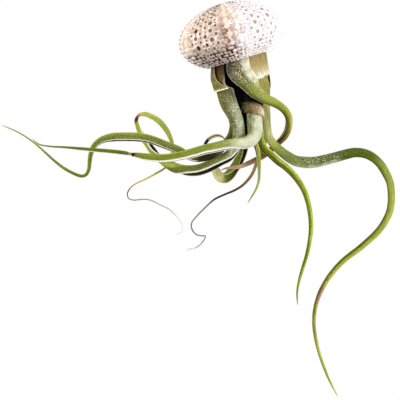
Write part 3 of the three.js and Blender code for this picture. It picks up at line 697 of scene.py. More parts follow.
def leaf_finish(leaf, stops, channel, edge_width=0.7, lit_scurf=(0.0, 0.0), shade_start=0.25, slant=0.0,
                scurf_colour=(228, 229, 200), edge_colour=(232, 234, 208)):
    """The leaf's material. Its stops run along it: share of its length, colour, and amount of scurf.
    The channel has stops of its own: the colour of the inner face, near black where it is painted
    shade, and a value that tells which side of the leaf's outside gets the painted shade, 0 for the one
    side, 1 for the other and 0.5 for neither. The lit scurf is how much thicker the scurf is on one side,
    partly a painted highlight where the light falls, and how far across it starts. The painted shade
    has a start of its own. A slant makes the colours change later on one side."""
    material, tree, skin = new_material(leaf.name.replace("_", " "))
    share, across = (reading(tree, name) for name in ("share", "across"))
    outside = colour_stops(tree, scaled(tree, across, -slant, share), stops)
    inside = colour_stops(tree, share, channel)
    inputs = {
        "Skin": outside["Color"],
        "Scurf": from_screen(*scurf_colour),
        "Scurf amount": outside["Alpha"],
        "Edge": from_screen(*edge_colour),
        "Edge width": edge_width,
        "Channel": inside["Color"],
        "Deep side": scaled(tree, inside["Alpha"], 2.0, -1.0),
        "Deep start": shade_start,
        "Silver side": lit_scurf[0],
        "Silver start": lit_scurf[1],
    }
    covering = tree.nodes.new("ShaderNodeGroup")
    covering.node_tree = leaf_skin
    connect(tree, covering, inputs)
    colour, roughness, height = (covering.outputs[name] for name in ("Colour", "Roughness", "Height"))
    dress(tree, skin, colour, height, 0.16 * MM, roughness)
    skin.inputs["Specular IOR Level"].default_value = 0.1
    leaf.data.materials.append(material)


FRONT_LOOP = [
    *sheath_rows(-89, 28, 0),
    [9.7, -3.6, -38, 13, 180, 35],
    [12.4, -8.3, -43.3, 9, 176, 48],
    [16.2, -12.2, -48, 5.2, 165, 70],
    [20.5, -13.2, -51.6, 3.6, 150, 105],
    [24.5, -13, -54.2, 2.9, 140, 130],
    [29, -12, -56.2, 2.6, 130, 145],
    [33, -10.5, -58.7, 2.3, 115, 150],
    [36, -9, -61.8, 2.3, 100],
    [37.3, -7, -65, 2.25, 90],
    [37.4, -4.5, -68.5, 2.25, 80, 145],
    [36.6, -1, -72.4, 2.2, 75],
    [34.7, 2.5, -75.7, 2.1],
    [31.9, 6, -78.7, 1.85, 80, 150],
    [27.9, 9, -82.4, 1.8, 85],
    [23.4, 9.5, -86.1, 1.75, 90],
    [18.8, 8.5, -88.6, 1.7],
    [14.3, 6, -90.7, 1.5],
    [9.7, 3.5, -92.6, 1.25],
    [5.7, 2, -93.1, 0.95],
    [1.7, 0.5, -93.6, 0.7],
    [-1.1, -0.5, -94.6, 0.45],
]
leaf_finish(
    make_leaf("leaf_front_loop", FRONT_LOOP, 1),
    [
        (0.0, (104, 82, 36), 0.6), (0.22, (92, 76, 34), 0.75),
        (0.30, (116, 114, 44), 0.6), (0.40, (148, 156, 66), 0.35),
        (0.52, (158, 164, 60), 0.2), (0.60, (176, 164, 84), 0.1),
        (0.66, (150, 122, 48), 0.1), (0.73, (124, 82, 30), 0.1),
        # The dark stop at 0.77 is painted shade where the tail passes behind the other leaves.
        (0.77, (84, 56, 30), 0.1), (0.80, (140, 106, 74), 0.2),
        (0.90, (186, 152, 128), 0.2), (1.0, (150, 120, 100), 0.1),
    ],
    # The inner face is painted near black inside the bulb and dark olive below it: painted shade in the
    # groove. The values set the side of the painted shade on the outside.
    channel=[
        (0.0, (14, 9, 6), 0.15), (0.40, (22, 15, 8), 0.15),
        (0.46, (60, 52, 10), 0.1), (0.52, (60, 48, 8), 0.0),
        (0.68, (70, 50, 8), 0.0), (0.78, (40, 26, 16), 0.5),
    ],
    lit_scurf=(0.9, 0.0),
    shade_start=0.35,
    edge_width=0.4,
)


# The long right leaf
# The longest living leaf. Its broad sheath makes the right side of the bulb, and its blade arches far
# out to the right, hooks down and back and then hangs to its tip, with a mauve band on the way.
LONG_RIGHT = [
    *sheath_rows(-11, 58, 1),
    [10.9, 0.1, -40, 14.2, 104, 55],
    [12.3, 0.2, -45, 13.6, 103],
    [15.2, 0.4, -50, 12, 95, 53],
    [19, 1, -56, 8.2, 80, 52],
    [23.6, 0.5, -62, 3.6, 85, 115],
    [24.8, 0.3, -69, 2.5, 120, 150],
    [26.2, 0, -75.8, 2.4, 150],
    [28.8, 0, -79.8, 2.5, 165],
    [32.5, -0.5, -83.5, 2.7, 175],
    [36.5, -1, -86.6, 2.9, 180],
    [41, -2, -89.2, 3.1],
    [46.7, -2, -90.2, 3.3, 185],
    [52.4, -1, -90.1, 3.2],
    [58, 0, -88.9, 3.1],
    [63.8, 2, -87.4, 3.0],
    [69.5, 4, -85.8, 2.9, 180],
    [75.2, 7, -84.6, 2.8],
    [80.5, 10, -85.1, 2.7, 175],
    [85, 13, -87, 2.6, 170],
    [89.1, 16, -90.4, 2.5, 165],
    [92.6, 19, -95.5, 2.4, 160],
    [95.3, 22, -101.2, 2.2, 155],
    [96.25, 25, -107.2, 2.15, 150],
    [96.25, 28, -113.4, 2.1, 145],
    [95.1, 30, -119.1, 2.05, 135],
    [89.8, 33, -128.4, 2.0, 120, 148],
    [79.6, 34.9, -138, 1.85, 105],
    [68, 34.9, -147.2, 1.75, 100],
    [59.9, 33, -156.7, 1.65, 95],
    [54.1, 29, -168, 1.45, 90],
    [51.9, 25, -180.6, 1.25],
    [53.9, 21, -195.4, 1.1],
    [59.3, 16, -211.3, 0.9],
    [65.6, 12, -224.2, 0.4],
]
leaf_finish(
    make_leaf("leaf_long_right", LONG_RIGHT, 2),
    [
        (0.0, (244, 230, 180), 0.2), (0.085, (238, 224, 172), 0.2),
        (0.112, (160, 148, 80), 0.25), (0.15, (138, 130, 60), 0.3),
        (0.19, (190, 184, 108), 0.4), (0.225, (196, 194, 120), 0.45),
        (0.26, (136, 144, 62), 0.4), (0.32, (96, 106, 36), 0.62),
        (0.37, (78, 92, 18), 0.6), (0.40, (64, 78, 0), 0.2),
        (0.45, (76, 92, 2), 0.1), (0.49, (130, 142, 52), 0.3),
        (0.56, (160, 168, 74), 0.2), (0.70, (166, 174, 64), 0.1),
        (0.765, (176, 180, 76), 0.05), (0.785, (168, 126, 100), 0.0),
        (0.80, (168, 130, 106), 0.0), (0.82, (164, 168, 82), 0.0),
        (0.93, (178, 186, 84), 0.0), (1.0, (204, 206, 124), 0.0),
    ],
    # The inner face is pale in the sheath and painted dark lower down: painted shade in the groove. The
    # values set the side of the painted shade on the outside.
    channel=[
        (0.0, (196, 180, 120)), (0.13, (150, 130, 70)),
        (0.2, (40, 36, 16)), (0.27, (40, 36, 16), 0.6),
        (0.38, (50, 54, 18), 0.6), (0.44, (50, 54, 18), 0.4),
        (0.5, (50, 54, 18), 0.0), (0.75, (50, 54, 18), 0.0),
        (1.0, (50, 54, 18), 0.2),
    ],
    shade_start=0.3,
    lit_scurf=(-1.0, 0.0),
    scurf_colour=(206, 210, 176),
)


# The middle right leaf
# A bright green leaf from deeper in the bulb, nearly bare of scurf. It arches to the right in front of
# the long leaf and hangs straight down, with its channel along the left side painted dark, a painted shade
# of the groove.
MID_RIGHT = [
    *sheath_rows(35, 42, 2),
    [10.6, 0, -40, 12.8, 60, 40],
    [13, 1, -48, 9.8, 66, 38],
    [17, 3.5, -56, 4.6, 55, 86],
    [16.8, 2.8, -62, 3.4, 50, 118],
    [18.9, 0.8, -69, 2.8, 55, 140],
    [20.6, -1, -74, 2.5, 60, 145],
    [21.9, -1, -79.2, 2.35, 65],
    [23.9, -1.5, -82.7, 2.25, 70, 140],
    [27.4, -2.5, -86, 2.25, 72],
    [31.4, -4, -89.8, 2.15],
    [35.9, -5, -93.2, 2.1, 75],
    [39.9, -6.5, -97.2, 2.0],
    [43.3, -8, -101.5, 1.9, 78, 142],
    [46.2, -10, -106.6, 1.75, 80, 145],
    [48.4, -12, -113.4, 1.6, 82],
    [49.7, -14, -121.4, 1.5, 84],
    [49.9, -15.5, -128.8, 1.4, 85],
    [49, -16.5, -136.2, 1.3],
    [47.4, -17, -143.6, 1.2],
    [44.9, -16.5, -151.6, 1.05],
    [43.2, -15.5, -157.9, 0.85],
    [42.2, -14, -164.2, 0.65],
    [42.4, -12, -171.6, 0.35],
]
leaf_finish(
    make_leaf("leaf_mid_right", MID_RIGHT, 3),
    [
        (0.0, (140, 128, 78), 0.3), (0.25, (140, 148, 56), 0.15),
        (0.38, (172, 184, 70), 0.1), (0.60, (170, 182, 66), 0.05),
        (0.85, (152, 166, 50), 0.0), (1.0, (172, 172, 66), 0.0),
    ],
    # The inner face is painted near black: painted shade in the groove. The values set the side of the
    # painted shade on the outside.
    channel=[
        (0.0, (20, 14, 9)), (0.30, (20, 16, 9), 0.3),
        (0.36, (34, 52, 6), 0.0), (1.0, (48, 60, 8), 0.0),
    ],
    shade_start=0.42,
    edge_width=0.3,
    edge_colour=(160, 172, 80),
)


# The short centre leaf
# The youngest leaf on show, short and yellow-green, which hangs from the heart of the bulb between the
# two bends and ends in a fine point.
SHORT_CENTRE = [
    *sheath_rows(36, 36, 3),
    [10.6, 0, -40, 11.4, 58, 36],
    [13.3, 1.2, -48, 7.9, 62, 38],
    [17, 3.5, -56, 2.8, 50, 85],
    [15.7, 1.8, -62, 1.65, 45, 130],
    [15.9, -2.9, -69, 1.7, 45, 140],
    [16.4, -3.1, -74, 1.65, 50],
    [18, -3, -78.5, 1.6, 55],
    [19.4, -1.8, -82.1, 1.55, 60],
    [20.1, -1, -86, 1.35, 65],
    [20.5, -0.5, -90.6, 1.15],
    [20.6, -1, -95.8, 0.9],
    [20.4, -2, -100.3, 0.8],
    [19.3, -3, -104.3, 0.7],
    [17.4, -4, -108, 0.55],
    [13.9, -5.5, -113.7, 0.35],
]
leaf_finish(
    make_leaf("leaf_short_centre", SHORT_CENTRE, 4),
    [
        (0.0, (150, 140, 92), 0.2), (0.5, (184, 184, 80), 0.1),
        (0.72, (188, 194, 84), 0.0), (0.9, (172, 184, 66), 0.0),
        (1.0, (150, 164, 50), 0.0),
    ],
    # The inner face is painted near black inside the bulb: painted shade in the groove. The values set the
    # side of the painted shade on the outside.
    channel=[
        (0.0, (20, 14, 9)), (0.44, (30, 24, 10)),
        (0.52, (110, 114, 24), 0.2), (1.0, (120, 124, 30), 0.3),
    ],
    edge_width=0.3,
)


# The front left leaf
# The thickest roll, silvery with scurf. It comes out through the gap in the front of the bulb, drops
# and bends hard to the left, with its pale edges below. Past a dried waist it thins to a long tip.
FRONT_LEFT_RADIUS = 4.2


def inner_sheath_rows(azimuth, half_spread, radius):
    """Rows of a slim sheath that runs close round the stem, behind the gap in the bulb."""
    return [axis_point(depth) + [radius, 90 - azimuth, half_spread] for depth in SHEATH_STATIONS]


FRONT_LEFT = [
    *inner_sheath_rows(285, 70, FRONT_LEFT_RADIUS),
    [11.2, 1.5, -41, 4.4, -195, 78],
    [13.5, 0.5, -49, 4.5, -190, 90],
    [16.3, -4, -56, 4.5, -185, 110],
    [17.7, -8, -62, 4.5, -180, 130],
    [18.1, -9.2, -67.5, 4.5, -178, 145],
    [18.3, -9.6, -71.5, 4.3, -172, 148],
    [17.8, -10, -75, 4.0, -160],
    [15.6, -10.6, -77.8, 3.7, -140],
    [12.4, -11, -79.2, 3.4, -118],
    [9, -11.3, -79.6, 3.2, -100, 146],
    [5, -11.6, -79.9, 3.1, -78, 156],
    [1.1, -12, -80.4, 3.0, -72, 158],
    [-4.6, -12.8, -81.7, 2.9, -70],
    [-10.3, -14, -82.9, 2.85, -70, 157],
    [-16, -15, -84.6, 2.8, -72, 155],
    [-21.7, -16.5, -86.1, 2.7, -76, 152],
    [-27.4, -18, -87.2, 2.6, -82, 150],
    [-33, -19.5, -87.9, 2.5, -86, 148],
    [-38.7, -20.5, -87.9, 2.4, -88],
    [-44.3, -21.5, -87.3, 2.25, -90],
    [-49, -22.5, -86.4, 1.75],
    [-52.1, -23, -85.8, 1.05],
    [-55.8, -23.8, -85.2, 1.4],
    [-61.4, -25, -84.5, 1.4],
    [-72.6, -27.5, -83.5, 1.25],
    [-81, -29, -82.7, 1.1],
    [-89.4, -30, -81.9, 0.8],
    [-97.8, -30.5, -81.4, 0.6],
    [-104.6, -30.5, -80.1, 0.5],
    [-109.2, -30, -76.5, 0.35],
]
leaf_finish(
    make_leaf("leaf_front_left", FRONT_LEFT, 5),
    [
        (0.0, (90, 76, 40), 0.3), (0.24, (96, 100, 28), 0.8),
        (0.30, (110, 118, 34), 0.95), (0.38, (144, 154, 70), 0.7),
        (0.43, (146, 158, 70), 0.38), (0.50, (166, 178, 74), 0.25),
        (0.58, (166, 180, 66), 0.15), (0.697, (156, 168, 56), 0.1),
        (0.702, (40, 26, 14), 0.0), (0.709, (50, 34, 18), 0.0),
        (0.713, (230, 210, 154), 0.0), (0.722, (128, 142, 28), 0.05),
        (0.9, (120, 134, 26), 0.0), (1.0, (154, 146, 60), 0.0),
    ],
    # The inner face is painted near black inside the bulb: painted shade in the groove. The values set the
    # side of the painted shade on the outside.
    channel=[
        (0.0, (14, 9, 6)), (0.24, (18, 14, 8), 0.1),
        (0.37, (110, 92, 48), 0.2), (0.43, (110, 92, 48), 0.6),
        (0.5, (110, 92, 48), 0.8), (0.7, (96, 84, 30), 0.85),
        (1.0, (60, 64, 20), 0.7),
    ],
    lit_scurf=(1.0, -0.2),
    shade_start=0.0,
    edge_width=1.7,
    scurf_colour=(216, 217, 190),
    edge_colour=(252, 252, 240),
)


# The far left leaf
# A living leaf from the back of the bulb that runs left in front of the curled leaf's two legs, drops
# in one bend and reaches furthest of all to the left, with its channel and pale edges underneath.
FAR_LEFT = [
    *sheath_rows(104, 36, 1),
    [10.5, 0, -40, 14.2, -14, 36],
    [9.5, 1.5, -48, 10.4, -24, 40],
    [7.3, 1.6, -56, 5.4, -25, 80],
    [6.3, 1.6, -62.5, 4.1, -35, 120],
    [6.8, 1.5, -69, 3.1, -50, 140],
    [4.6, 0.4, -76, 2.7, -60, 142],
    [-0.2, -2.8, -81.5, 2.6, -70],
    [-5, -5, -85.4, 2.6, -75],
    [-10.8, -6, -87.5, 2.5, -78],
    [-16, -7, -87.8, 2.5, -80],
    [-21, -8, -86, 2.5],
    [-25, -8.8, -83.6, 2.5],
    [-29.1, -9.5, -81.9, 2.5, -78],
    [-33, -10, -80.4, 2.55, -76],
    [-37.5, -10.5, -78.6, 2.6, -75],
    [-41.5, -11, -77.2, 2.6, -74, 140],
    [-46.2, -12, -76.3, 2.7],
    [-51.8, -13, -75.9, 2.75],
    [-57.5, -14, -75.9, 2.75],
    [-63.1, -15, -76.2, 2.65],
    [-67.6, -16, -77.2, 2.3, -76, 142],
    [-71.1, -16.5, -79, 2.0, -78, 145],
    [-73.4, -16.5, -81.4, 1.8, -80],
    [-74.9, -16, -85, 1.6, -82],
    [-75.6, -15.5, -88.9, 1.45, -84],
    [-75.9, -15, -92.3, 1.3, -86],
    [-76.5, -14.5, -95.2, 1.2, -88],
    [-78, -14, -97.5, 1.15],
    [-80.3, -13.5, -98.2, 1.1, -86],
    [-83.2, -13, -97.5, 1.1, -84],
    [-90, -12, -94.1, 1.05, -82],
    [-95.7, -11.5, -89.8, 0.9],
    [-101.4, -11, -84.6, 0.75],
    [-107.2, -11, -79.5, 0.6],
    [-115.6, -11, -73.8, 0.45],
    [-126, -11, -69, 0.35],
]
leaf_finish(
    make_leaf("leaf_far_left", FAR_LEFT, 6),
    [
        (0.0, (128, 116, 70), 0.4), (0.2, (116, 122, 44), 0.4),
        # The dark brown stops at 0.37 and 0.40 are painted shade where this leaf passes under the front
        # left leaf.
        (0.33, (96, 92, 36), 0.2), (0.37, (70, 52, 24), 0.0),
        (0.40, (74, 56, 26), 0.0), (0.43, (166, 176, 84), 0.35),
        (0.55, (174, 184, 90), 0.35), (0.64, (166, 176, 78), 0.3),
        (0.76, (140, 150, 56), 0.1), (0.88, (146, 152, 66), 0.0),
        (1.0, (166, 162, 80), 0.0),
    ],
    # The inner face is painted near black all along: painted shade in the groove. The values set the side
    # of the painted shade on the outside.
    channel=[
        (0.0, (14, 9, 6)), (0.25, (14, 12, 6), 0.6),
        (0.36, (16, 18, 4), 0.9), (0.72, (20, 24, 4), 0.85),
        (1.0, (40, 44, 14), 0.6),
    ],
    shade_start=0.1,
    edge_width=0.6,
    edge_colour=(246, 246, 230),
)


# The curled left leaf
# The leaf of the left sheath. It curves left under the others with its wide channel to the viewer,
# loops up and over past a dried kink, and dies back into a long, wavy, grey thread.
CURLED_LEFT = [
    *sheath_rows(190, 42, 1),
    [8.8, 0, -39, 14.7, -102, 43],
    [5.6, -2, -45.5, 9.8, -112, 44],
    [2.5, -4.4, -51, 5.9, -118, 104],
    [3.6, -6.3, -57, 5.1, -112, 134],
    [6.4, -7.4, -63, 4.3, -110, 140],
    [8.5, -8, -68.5, 3.6, -106, 148],
    [8.5, -5.9, -75.2, 3.2, -98, 146],
    [7.6, -3.7, -80.4, 3.2, -88, 142],
    [5.7, -2.5, -84.2, 3.3, -76, 136],
    [2.6, -0.9, -87.3, 3.4, -68, 132],
    [-1.9, 0, -89.4, 3.5, -66],
    [-6.3, 0.4, -91.9, 3.6, -64, 127],
    [-10.3, 0.6, -93.7, 3.6, -64, 126],
    [-14.3, 0.5, -94.9, 3.6, -66],
    [-18.8, 0.4, -95.3, 3.5, -70],
    [-22.8, 0.3, -94.8, 3.3, -84, 130],
    [-26.8, 0.2, -93.6, 3.1, -122, 136],
    [-30.2, 0, -91.7, 2.9, -172, 138],
    [-33.7, 0, -89.3, 2.75, -225, 132],
    [-36.8, 0, -86.8, 2.65, -268, 124],
    [-39.9, 0.2, -83.6, 2.45, -296, 122],
    [-42.4, 0.8, -80.2, 2.25, -300, 126],
    [-45, 1.5, -76.8, 2.05, -290, 138],
    [-47, 2.3, -73.2, 1.8, -278, 145],
    [-48.4, 3.1, -69.6, 1.55, -272],
    [-49.4, 4, -66.6, 1.2, -270],
    [-48.8, 4.8, -64.6, 1.0],
    [-47.2, 5.6, -63.2, 1.2],
    [-44.2, 6.8, -63, 1.6],
    [-40.9, 8, -64.3, 1.85, -270, 142],
    [-38, 9, -66, 1.95, -270, 140],
    [-35.7, 9.7, -68, 1.95],
    [-33.5, 10.3, -70.6, 1.9],
    [-31.8, 10.6, -73.1, 1.75],
    [-30.4, 10.8, -76, 1.55],
    [-29.3, 10.8, -79.5, 1.35, -270, 142],
    [-29, 10.6, -83.5, 1.1, -270, 145],
    [-29.5, 10, -87.8, 1.0],
    [-31.2, 9, -91.3, 0.85],
    [-33.8, 7.8, -93.8, 0.75],
    [-38.7, 6, -96.7, 0.65],
    [-44.4, 4.5, -99.8, 0.55],
    [-50.1, 3.5, -102.5, 0.45],
    [-53, 3, -104.9, 0.42],
    [-54.6, 2.5, -108.3, 0.42],
    [-53.8, 2, -110.9, 0.42],
    [-51, 1.5, -111.8, 0.42],
    [-45.6, 1, -111.4, 0.45],
    [-41.3, 0.5, -111.9, 0.45],
    [-35.8, -0.5, -114.6, 0.45],
    [-30.5, -1.5, -117.2, 0.42],
    [-26.2, -2.5, -121.4, 0.4],
    [-23.4, -3.5, -125.7, 0.38],
    [-23.5, -4, -129.4, 0.36],
    [-27.2, -4.5, -131.4, 0.32],
]
leaf_finish(
    make_leaf("leaf_curled_left", CURLED_LEFT, 7),
    [
        (0.0, (92, 62, 34), 0.0), (0.10, (84, 56, 30), 0.1),
        (0.13, (104, 92, 30), 0.25), (0.2, (88, 88, 28), 0.5),
        (0.27, (110, 116, 40), 0.56), (0.33, (150, 160, 68), 0.34),
        (0.42, (166, 176, 82), 0.34), (0.48, (160, 170, 76), 0.32),
        (0.551, (158, 160, 60), 0.05), (0.556, (60, 34, 16), 0.0),
        (0.564, (60, 34, 16), 0.0), (0.569, (180, 116, 56), 0.0),
        (0.576, (166, 170, 74), 0.0), (0.7, (168, 178, 76), 0.05),
        (0.775, (190, 172, 70), 0.0), (0.80, (184, 148, 60), 0.0),
        (0.82, (96, 78, 52), 0.0), (0.86, (146, 140, 136), 0.0),
        (0.94, (190, 186, 184), 0.0), (1.0, (226, 224, 222), 0.0),
    ],
    # The inner face is painted near black down to the dried kink: painted shade in the groove. The values
    # set the side of the painted shade on the outside.
    channel=[
        (0.0, (12, 7, 4)), (0.3, (9, 8, 4), 0.5),
        (0.36, (9, 10, 4), 0.9), (0.48, (9, 10, 4), 0.9),
        (0.54, (9, 10, 4), 0.5), (0.6, (90, 92, 30)),
        (0.78, (120, 104, 40)), (0.84, (96, 86, 76)),
        (1.0, (200, 196, 194)),
    ],
    lit_scurf=(1.0, 0.2),
    shade_start=0.1,
    edge_width=1.1,
    edge_colour=(246, 246, 232),
)


# The hooked leaf
# The leaf of the back sheath. It hangs behind the rest, hooks up under them with the pale inner face
# of its channel to the viewer, and ends in a dried curl over the top of the leaves at the left.
HOOKED = [
    *sheath_rows(98, 48, 0),
    [10.5, 0.2, -40, 15.6, -8, 47],
    [11.2, 2.2, -48, 13.2, -8, 50],
    [15, 7.2, -56, 6, 2, 62],
    [14, 8, -62, 4.4, -6, 112],
    [13.6, 6.6, -69, 3.6, -16, 135],
    [12.8, 6.2, -76, 3.2, -28, 142],
    [11.6, 6.6, -81.5, 3.0, -42],
    [10.1, 7.4, -86.6, 2.9, -56, 140],
    [8.2, 8.6, -91, 2.9, -60, 136],
    [6, 9.6, -94.4, 2.9, -54, 132],
    [3.9, 10, -97.2, 3.1, -42, 122],
    [1.4, 9.8, -99.1, 3.1, -28, 112],
    [-1.5, 9.4, -98.6, 2.9, -14, 100],
    [-3.5, 9, -96, 2.6, -5, 95],
    [-5.1, 8.4, -92.4, 2.2, 0, 105],
    [-7.4, 6.6, -88, 1.6, 0, 125],
    [-9.6, 2.6, -83.8, 1.1, 0, 145],
    [-10.1, -1.6, -80, 0.95],
    [-7.9, -4.4, -76.8, 0.95],
    [-5.1, -5.6, -75.3, 0.95],
    [-2.6, -6.2, -75, 0.9],
    [-0.4, -6.4, -75.7, 0.7],
    [1.3, -6.4, -77.3, 0.45],
]
leaf_finish(
    make_leaf("leaf_hooked", HOOKED, 8),
    [
        (0.0, (130, 114, 76), 0.3), (0.3, (134, 124, 80), 0.4),
        (0.42, (112, 120, 40), 0.3), (0.6, (108, 124, 30), 0.2),
        (0.72, (132, 140, 50), 0.2), (0.84, (150, 126, 96), 0.1),
        (0.885, (56, 38, 26), 0.0), (0.915, (56, 38, 26), 0.0),
        (0.935, (166, 130, 104), 0.0), (0.99, (156, 122, 96), 0.0),
    ],
    # The inner face is painted near black in the bulb and dark at the curled end: painted shade in the
    # groove.
    channel=[
        (0.0, (14, 9, 6)), (0.48, (24, 24, 8)),
        (0.6, (60, 70, 16)), (0.69, (116, 128, 44)),
        (0.705, (226, 222, 168)), (0.78, (214, 208, 150)),
        (0.84, (110, 80, 58)), (0.95, (30, 18, 12)),
    ],
    edge_width=0.3,
    edge_colour=(214, 206, 160),
)


# The dry thread leaf
# An old leaf that has died back: its papery sheath clings to the right of the bulb, and its blade has
# shrunk to a twisted thread that turns from tan to dark brown and then to a bleached grey.
DRY_THREAD = [
    *sheath_rows(27, 14, 0),
    [10.9, 0, -40, 15.8, 63, 14],
    [18.8, 2.8, -48, 9, 63, 24],
    [24.5, 8.3, -56, 2.5, 63, 62],
    [25.1, 7.4, -62, 1.8, 63, 105],
    [25.3, 7.4, -69, 1.3, 63, 140],
    [24.4, 9.4, -77, 1.2, 63, 145],
    [21.8, 12.4, -84.5, 1.15],
    [19.4, 14, -90, 1.05],
    [17.8, 14.6, -94.4, 1.0],
    [16.2, 14.8, -97.6, 0.95],
    [13.4, 14.8, -101.2, 0.85],
    [10.3, 14.4, -104, 0.75],
    [6.4, 13.6, -106.3, 0.65],
    [0.6, 12.4, -108.7, 0.58],
    [-5.1, 11, -111.5, 0.55],
    [-10.3, 9.6, -116.1, 0.5],
    [-14.8, 8.4, -120.7, 0.45],
    [-17.8, 7.4, -124.6, 0.42],
    [-17.9, 6.8, -127.8, 0.42],
    [-15.6, 6.4, -131.2, 0.42],
    [-12.4, 6.2, -132.2, 0.42],
    [-10.1, 6, -132.2, 0.4],
    [-10.7, 5.8, -134.1, 0.4],
    [-14, 5.4, -138, 0.4],
    [-16.8, 5.1, -139.3, 0.38],
    [-19.6, 4.9, -139.7, 0.36],
    [-20.9, 4.7, -141, 0.32],
]
leaf_finish(
    make_leaf("leaf_dry_thread", DRY_THREAD, 9),
    [
        (0.0, (226, 212, 180), 0.2), (0.22, (214, 198, 160), 0.2),
        (0.36, (140, 122, 56), 0.1), (0.52, (184, 150, 92), 0.0),
        (0.6, (140, 102, 58), 0.0), (0.65, (62, 44, 28), 0.0),
        (0.72, (60, 46, 34), 0.0), (0.78, (132, 124, 116), 0.0),
        (0.86, (92, 88, 84), 0.0), (0.93, (142, 138, 134), 0.0),
        (1.0, (216, 214, 212), 0.0),
    ],
    channel=[
        (0.0, (190, 170, 130)), (0.3, (40, 30, 20)),
        (0.55, (110, 84, 50)), (0.66, (40, 28, 18)),
        (1.0, (150, 146, 142)),
    ],
    edge_width=0.2,
)


# The old sheaths
# Three outer sheaths whose blades have withered and torn off. They are dry and papery: olive-brown at
# the left, bleached on the right, and felted pink-brown in the middle, where the front leaf comes out.
OLD_LEFT = [
    *sheath_rows(182, 24, 0),
    [8.4, 0, -38, 16.1, -94, 29],
    [7, -1, -42, 13.8, -98, 36],
    [6, -1.8, -45, 12, -106, 44],
    [5.1, -2.4, -47, 10.6, -112, 55],
    [4, -3.2, -48.4, 9.8, -114, 64],
]
OLD_RIGHT = [
    *sheath_rows(-34, 37, 0),
    [10, 0, -37, 16.1, 124, 37],
    [10.9, 0, -42, 16.1, 121, 36],
    [11.9, 0, -47.5, 15.9, 118, 34],
]
OLD_CENTRE = [
    *inner_sheath_rows(275, 46, FRONT_LEFT_RADIUS + LAYER_PITCH),
    [11.2, 1.5, -41, 5.8, -188, 60],
    [13.5, 0.5, -49, 5.9, -188, 75],
    [16.3, -4, -56, 5.9, -185, 90],
    [17.7, -8, -62, 5.9, -180, 96],
    [18, -8.9, -66.5, 5.8, -178, 98],
]
OLD_COLUMNS = 56
leaf_finish(
    make_leaf("old_sheath_left", OLD_LEFT, 10, OLD_COLUMNS, tear=0.05),
    [
        (0.0, (112, 88, 38), 0.3), (0.7, (104, 84, 34), 0.4),
        (0.9, (98, 92, 34), 0.4), (0.94, (150, 134, 80), 0.2),
        (0.965, (240, 232, 206), 0.2),
    ],
    channel=[(0.0, (40, 24, 14)), (0.6, (60, 36, 20)), (1.0, (150, 120, 70))],
    edge_width=0.9,
    edge_colour=(206, 188, 132),
)
leaf_finish(
    make_leaf("old_sheath_right", OLD_RIGHT, 11, OLD_COLUMNS, tear=0.07, cut=0.08),
    [
        (0.0, (160, 140, 90), 0.1), (0.62, (150, 132, 84), 0.1),
        (0.74, (162, 144, 98), 0.2), (0.84, (196, 182, 146), 0.3),
        (0.92, (236, 231, 220), 0.3), (1.0, (232, 224, 200), 0.2),
    ],
    channel=[(0.0, (236, 224, 190)), (1.0, (250, 244, 226))],
    scurf_colour=(250, 246, 236),
)
leaf_finish(
    make_leaf("old_sheath_centre", OLD_CENTRE, 12, OLD_COLUMNS, tear=0.02, cut=-0.09),
    [
        # Near black, inside as well as out, up to where it comes out of the bulb: painted shade of the deep
        # hollow in the front of the bulb.
        (0.0, (3, 2, 2), 0.0), (0.835, (3, 2, 2), 0.0),
        (0.85, (104, 76, 46), 0.5), (0.88, (150, 126, 84), 0.75),
        (0.94, (160, 120, 92), 0.6), (1.0, (172, 134, 106), 0.4),
    ],
    channel=[(0.0, (6, 4, 3), 0.0), (1.0, (30, 20, 14), 0.0)],
    slant=0.07,
    shade_start=-0.2,
    lit_scurf=(0.8, 0.2),
    scurf_colour=(232, 222, 184),
)


# The floor, the light and the camera
# A plain white studio: a pale floor well under the hanging part, a white surround, a soft light level
# with the part at the right, a wide one at the left and one from behind. The camera looks level.
FLOOR_DEPTH = 1000 * MM
FLOOR_RADIUS = 900 * MM
LOOK_AT = Vector((-13.1, 0, -111.7)) * MM
CAMERA_DISTANCE = 8.0
VIEW_LIMIT = 20
PICTURE_WIDTH = 228 * MM
SENSOR_WIDTH = 36.0
SKY_LEVEL = 0.75
SKY_RISE = 0.18
SKY_SLANT = -0.06
SKY_LEAST = 0.08

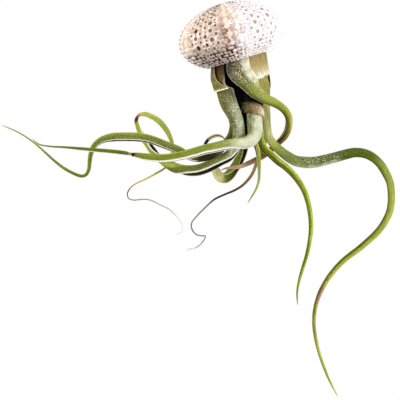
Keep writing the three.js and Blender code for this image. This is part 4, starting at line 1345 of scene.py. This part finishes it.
bm = bmesh.new()
bmesh.ops.create_circle(bm, cap_ends=True, segments=96, radius=FLOOR_RADIUS)
bmesh.ops.translate(bm, verts=bm.verts, vec=(0, 0, -FLOOR_DEPTH))
floor = object_from("floor", bm)
paper, tree, skin = new_material("pale floor")
connect(tree, skin, {"Base Color": from_screen(224, 224, 224), "Roughness": 0.9})
floor.data.materials.append(paper)


def soft_light(name, place_at, size, power):
    """A square soft light that faces the middle of the part."""
    lamp = bpy.data.lights.new(name, "AREA")
    lamp.size = size
    lamp.energy = power
    made = bpy.data.objects.new(name, lamp)
    made.location = place_at
    made.rotation_euler = (LOOK_AT - made.location).to_track_quat("-Z", "Y").to_euler()
    bpy.context.scene.collection.objects.link(made)


soft_light("key", Vector((0.9, -0.6, 0.05)), 0.45, 7)
soft_light("fill", Vector((-0.95, -0.2, 0.3)), 0.6, 7)
soft_light("back", Vector((0.2, 0.9, 0.6)), 0.5, 4.5)

surround = bpy.data.worlds.new("white surround")
surround.use_nodes = True
bpy.context.scene.world = surround
tree = surround.node_tree
backdrop = tree.nodes["Background"]
seen = tree.nodes.new("ShaderNodeLightPath").outputs["Is Camera Ray"]
heading = tree.nodes.new("ShaderNodeTexCoord").outputs["Generated"]
toward = place(tree, "ShaderNodeSeparateXYZ", {"Vector": heading}).outputs
sky = scaled(tree, toward["Z"], SKY_RISE, SKY_LEVEL)
sky = figure(tree, "MAXIMUM", scaled(tree, toward["X"], SKY_SLANT, sky), SKY_LEAST)
glow = place(tree, "ShaderNodeMapRange", {"Value": seen, "To Min": sky, "To Max": 1.0}).outputs[0]
connect(tree, backdrop, {"Color": (1, 1, 1, 1), "Strength": glow})
bpy.context.scene.view_settings.view_transform = "Standard"

lens = bpy.data.cameras.new("camera")
lens.sensor_width = SENSOR_WIDTH
lens.lens = SENSOR_WIDTH * CAMERA_DISTANCE / PICTURE_WIDTH
lens.clip_end = VIEW_LIMIT
camera = bpy.data.objects.new("camera", lens)
camera.location = LOOK_AT - Vector((0, CAMERA_DISTANCE, 0))
camera.rotation_euler = (math.radians(90), 0, 0)
bpy.context.scene.collection.objects.link(camera)
bpy.context.scene.camera = camera
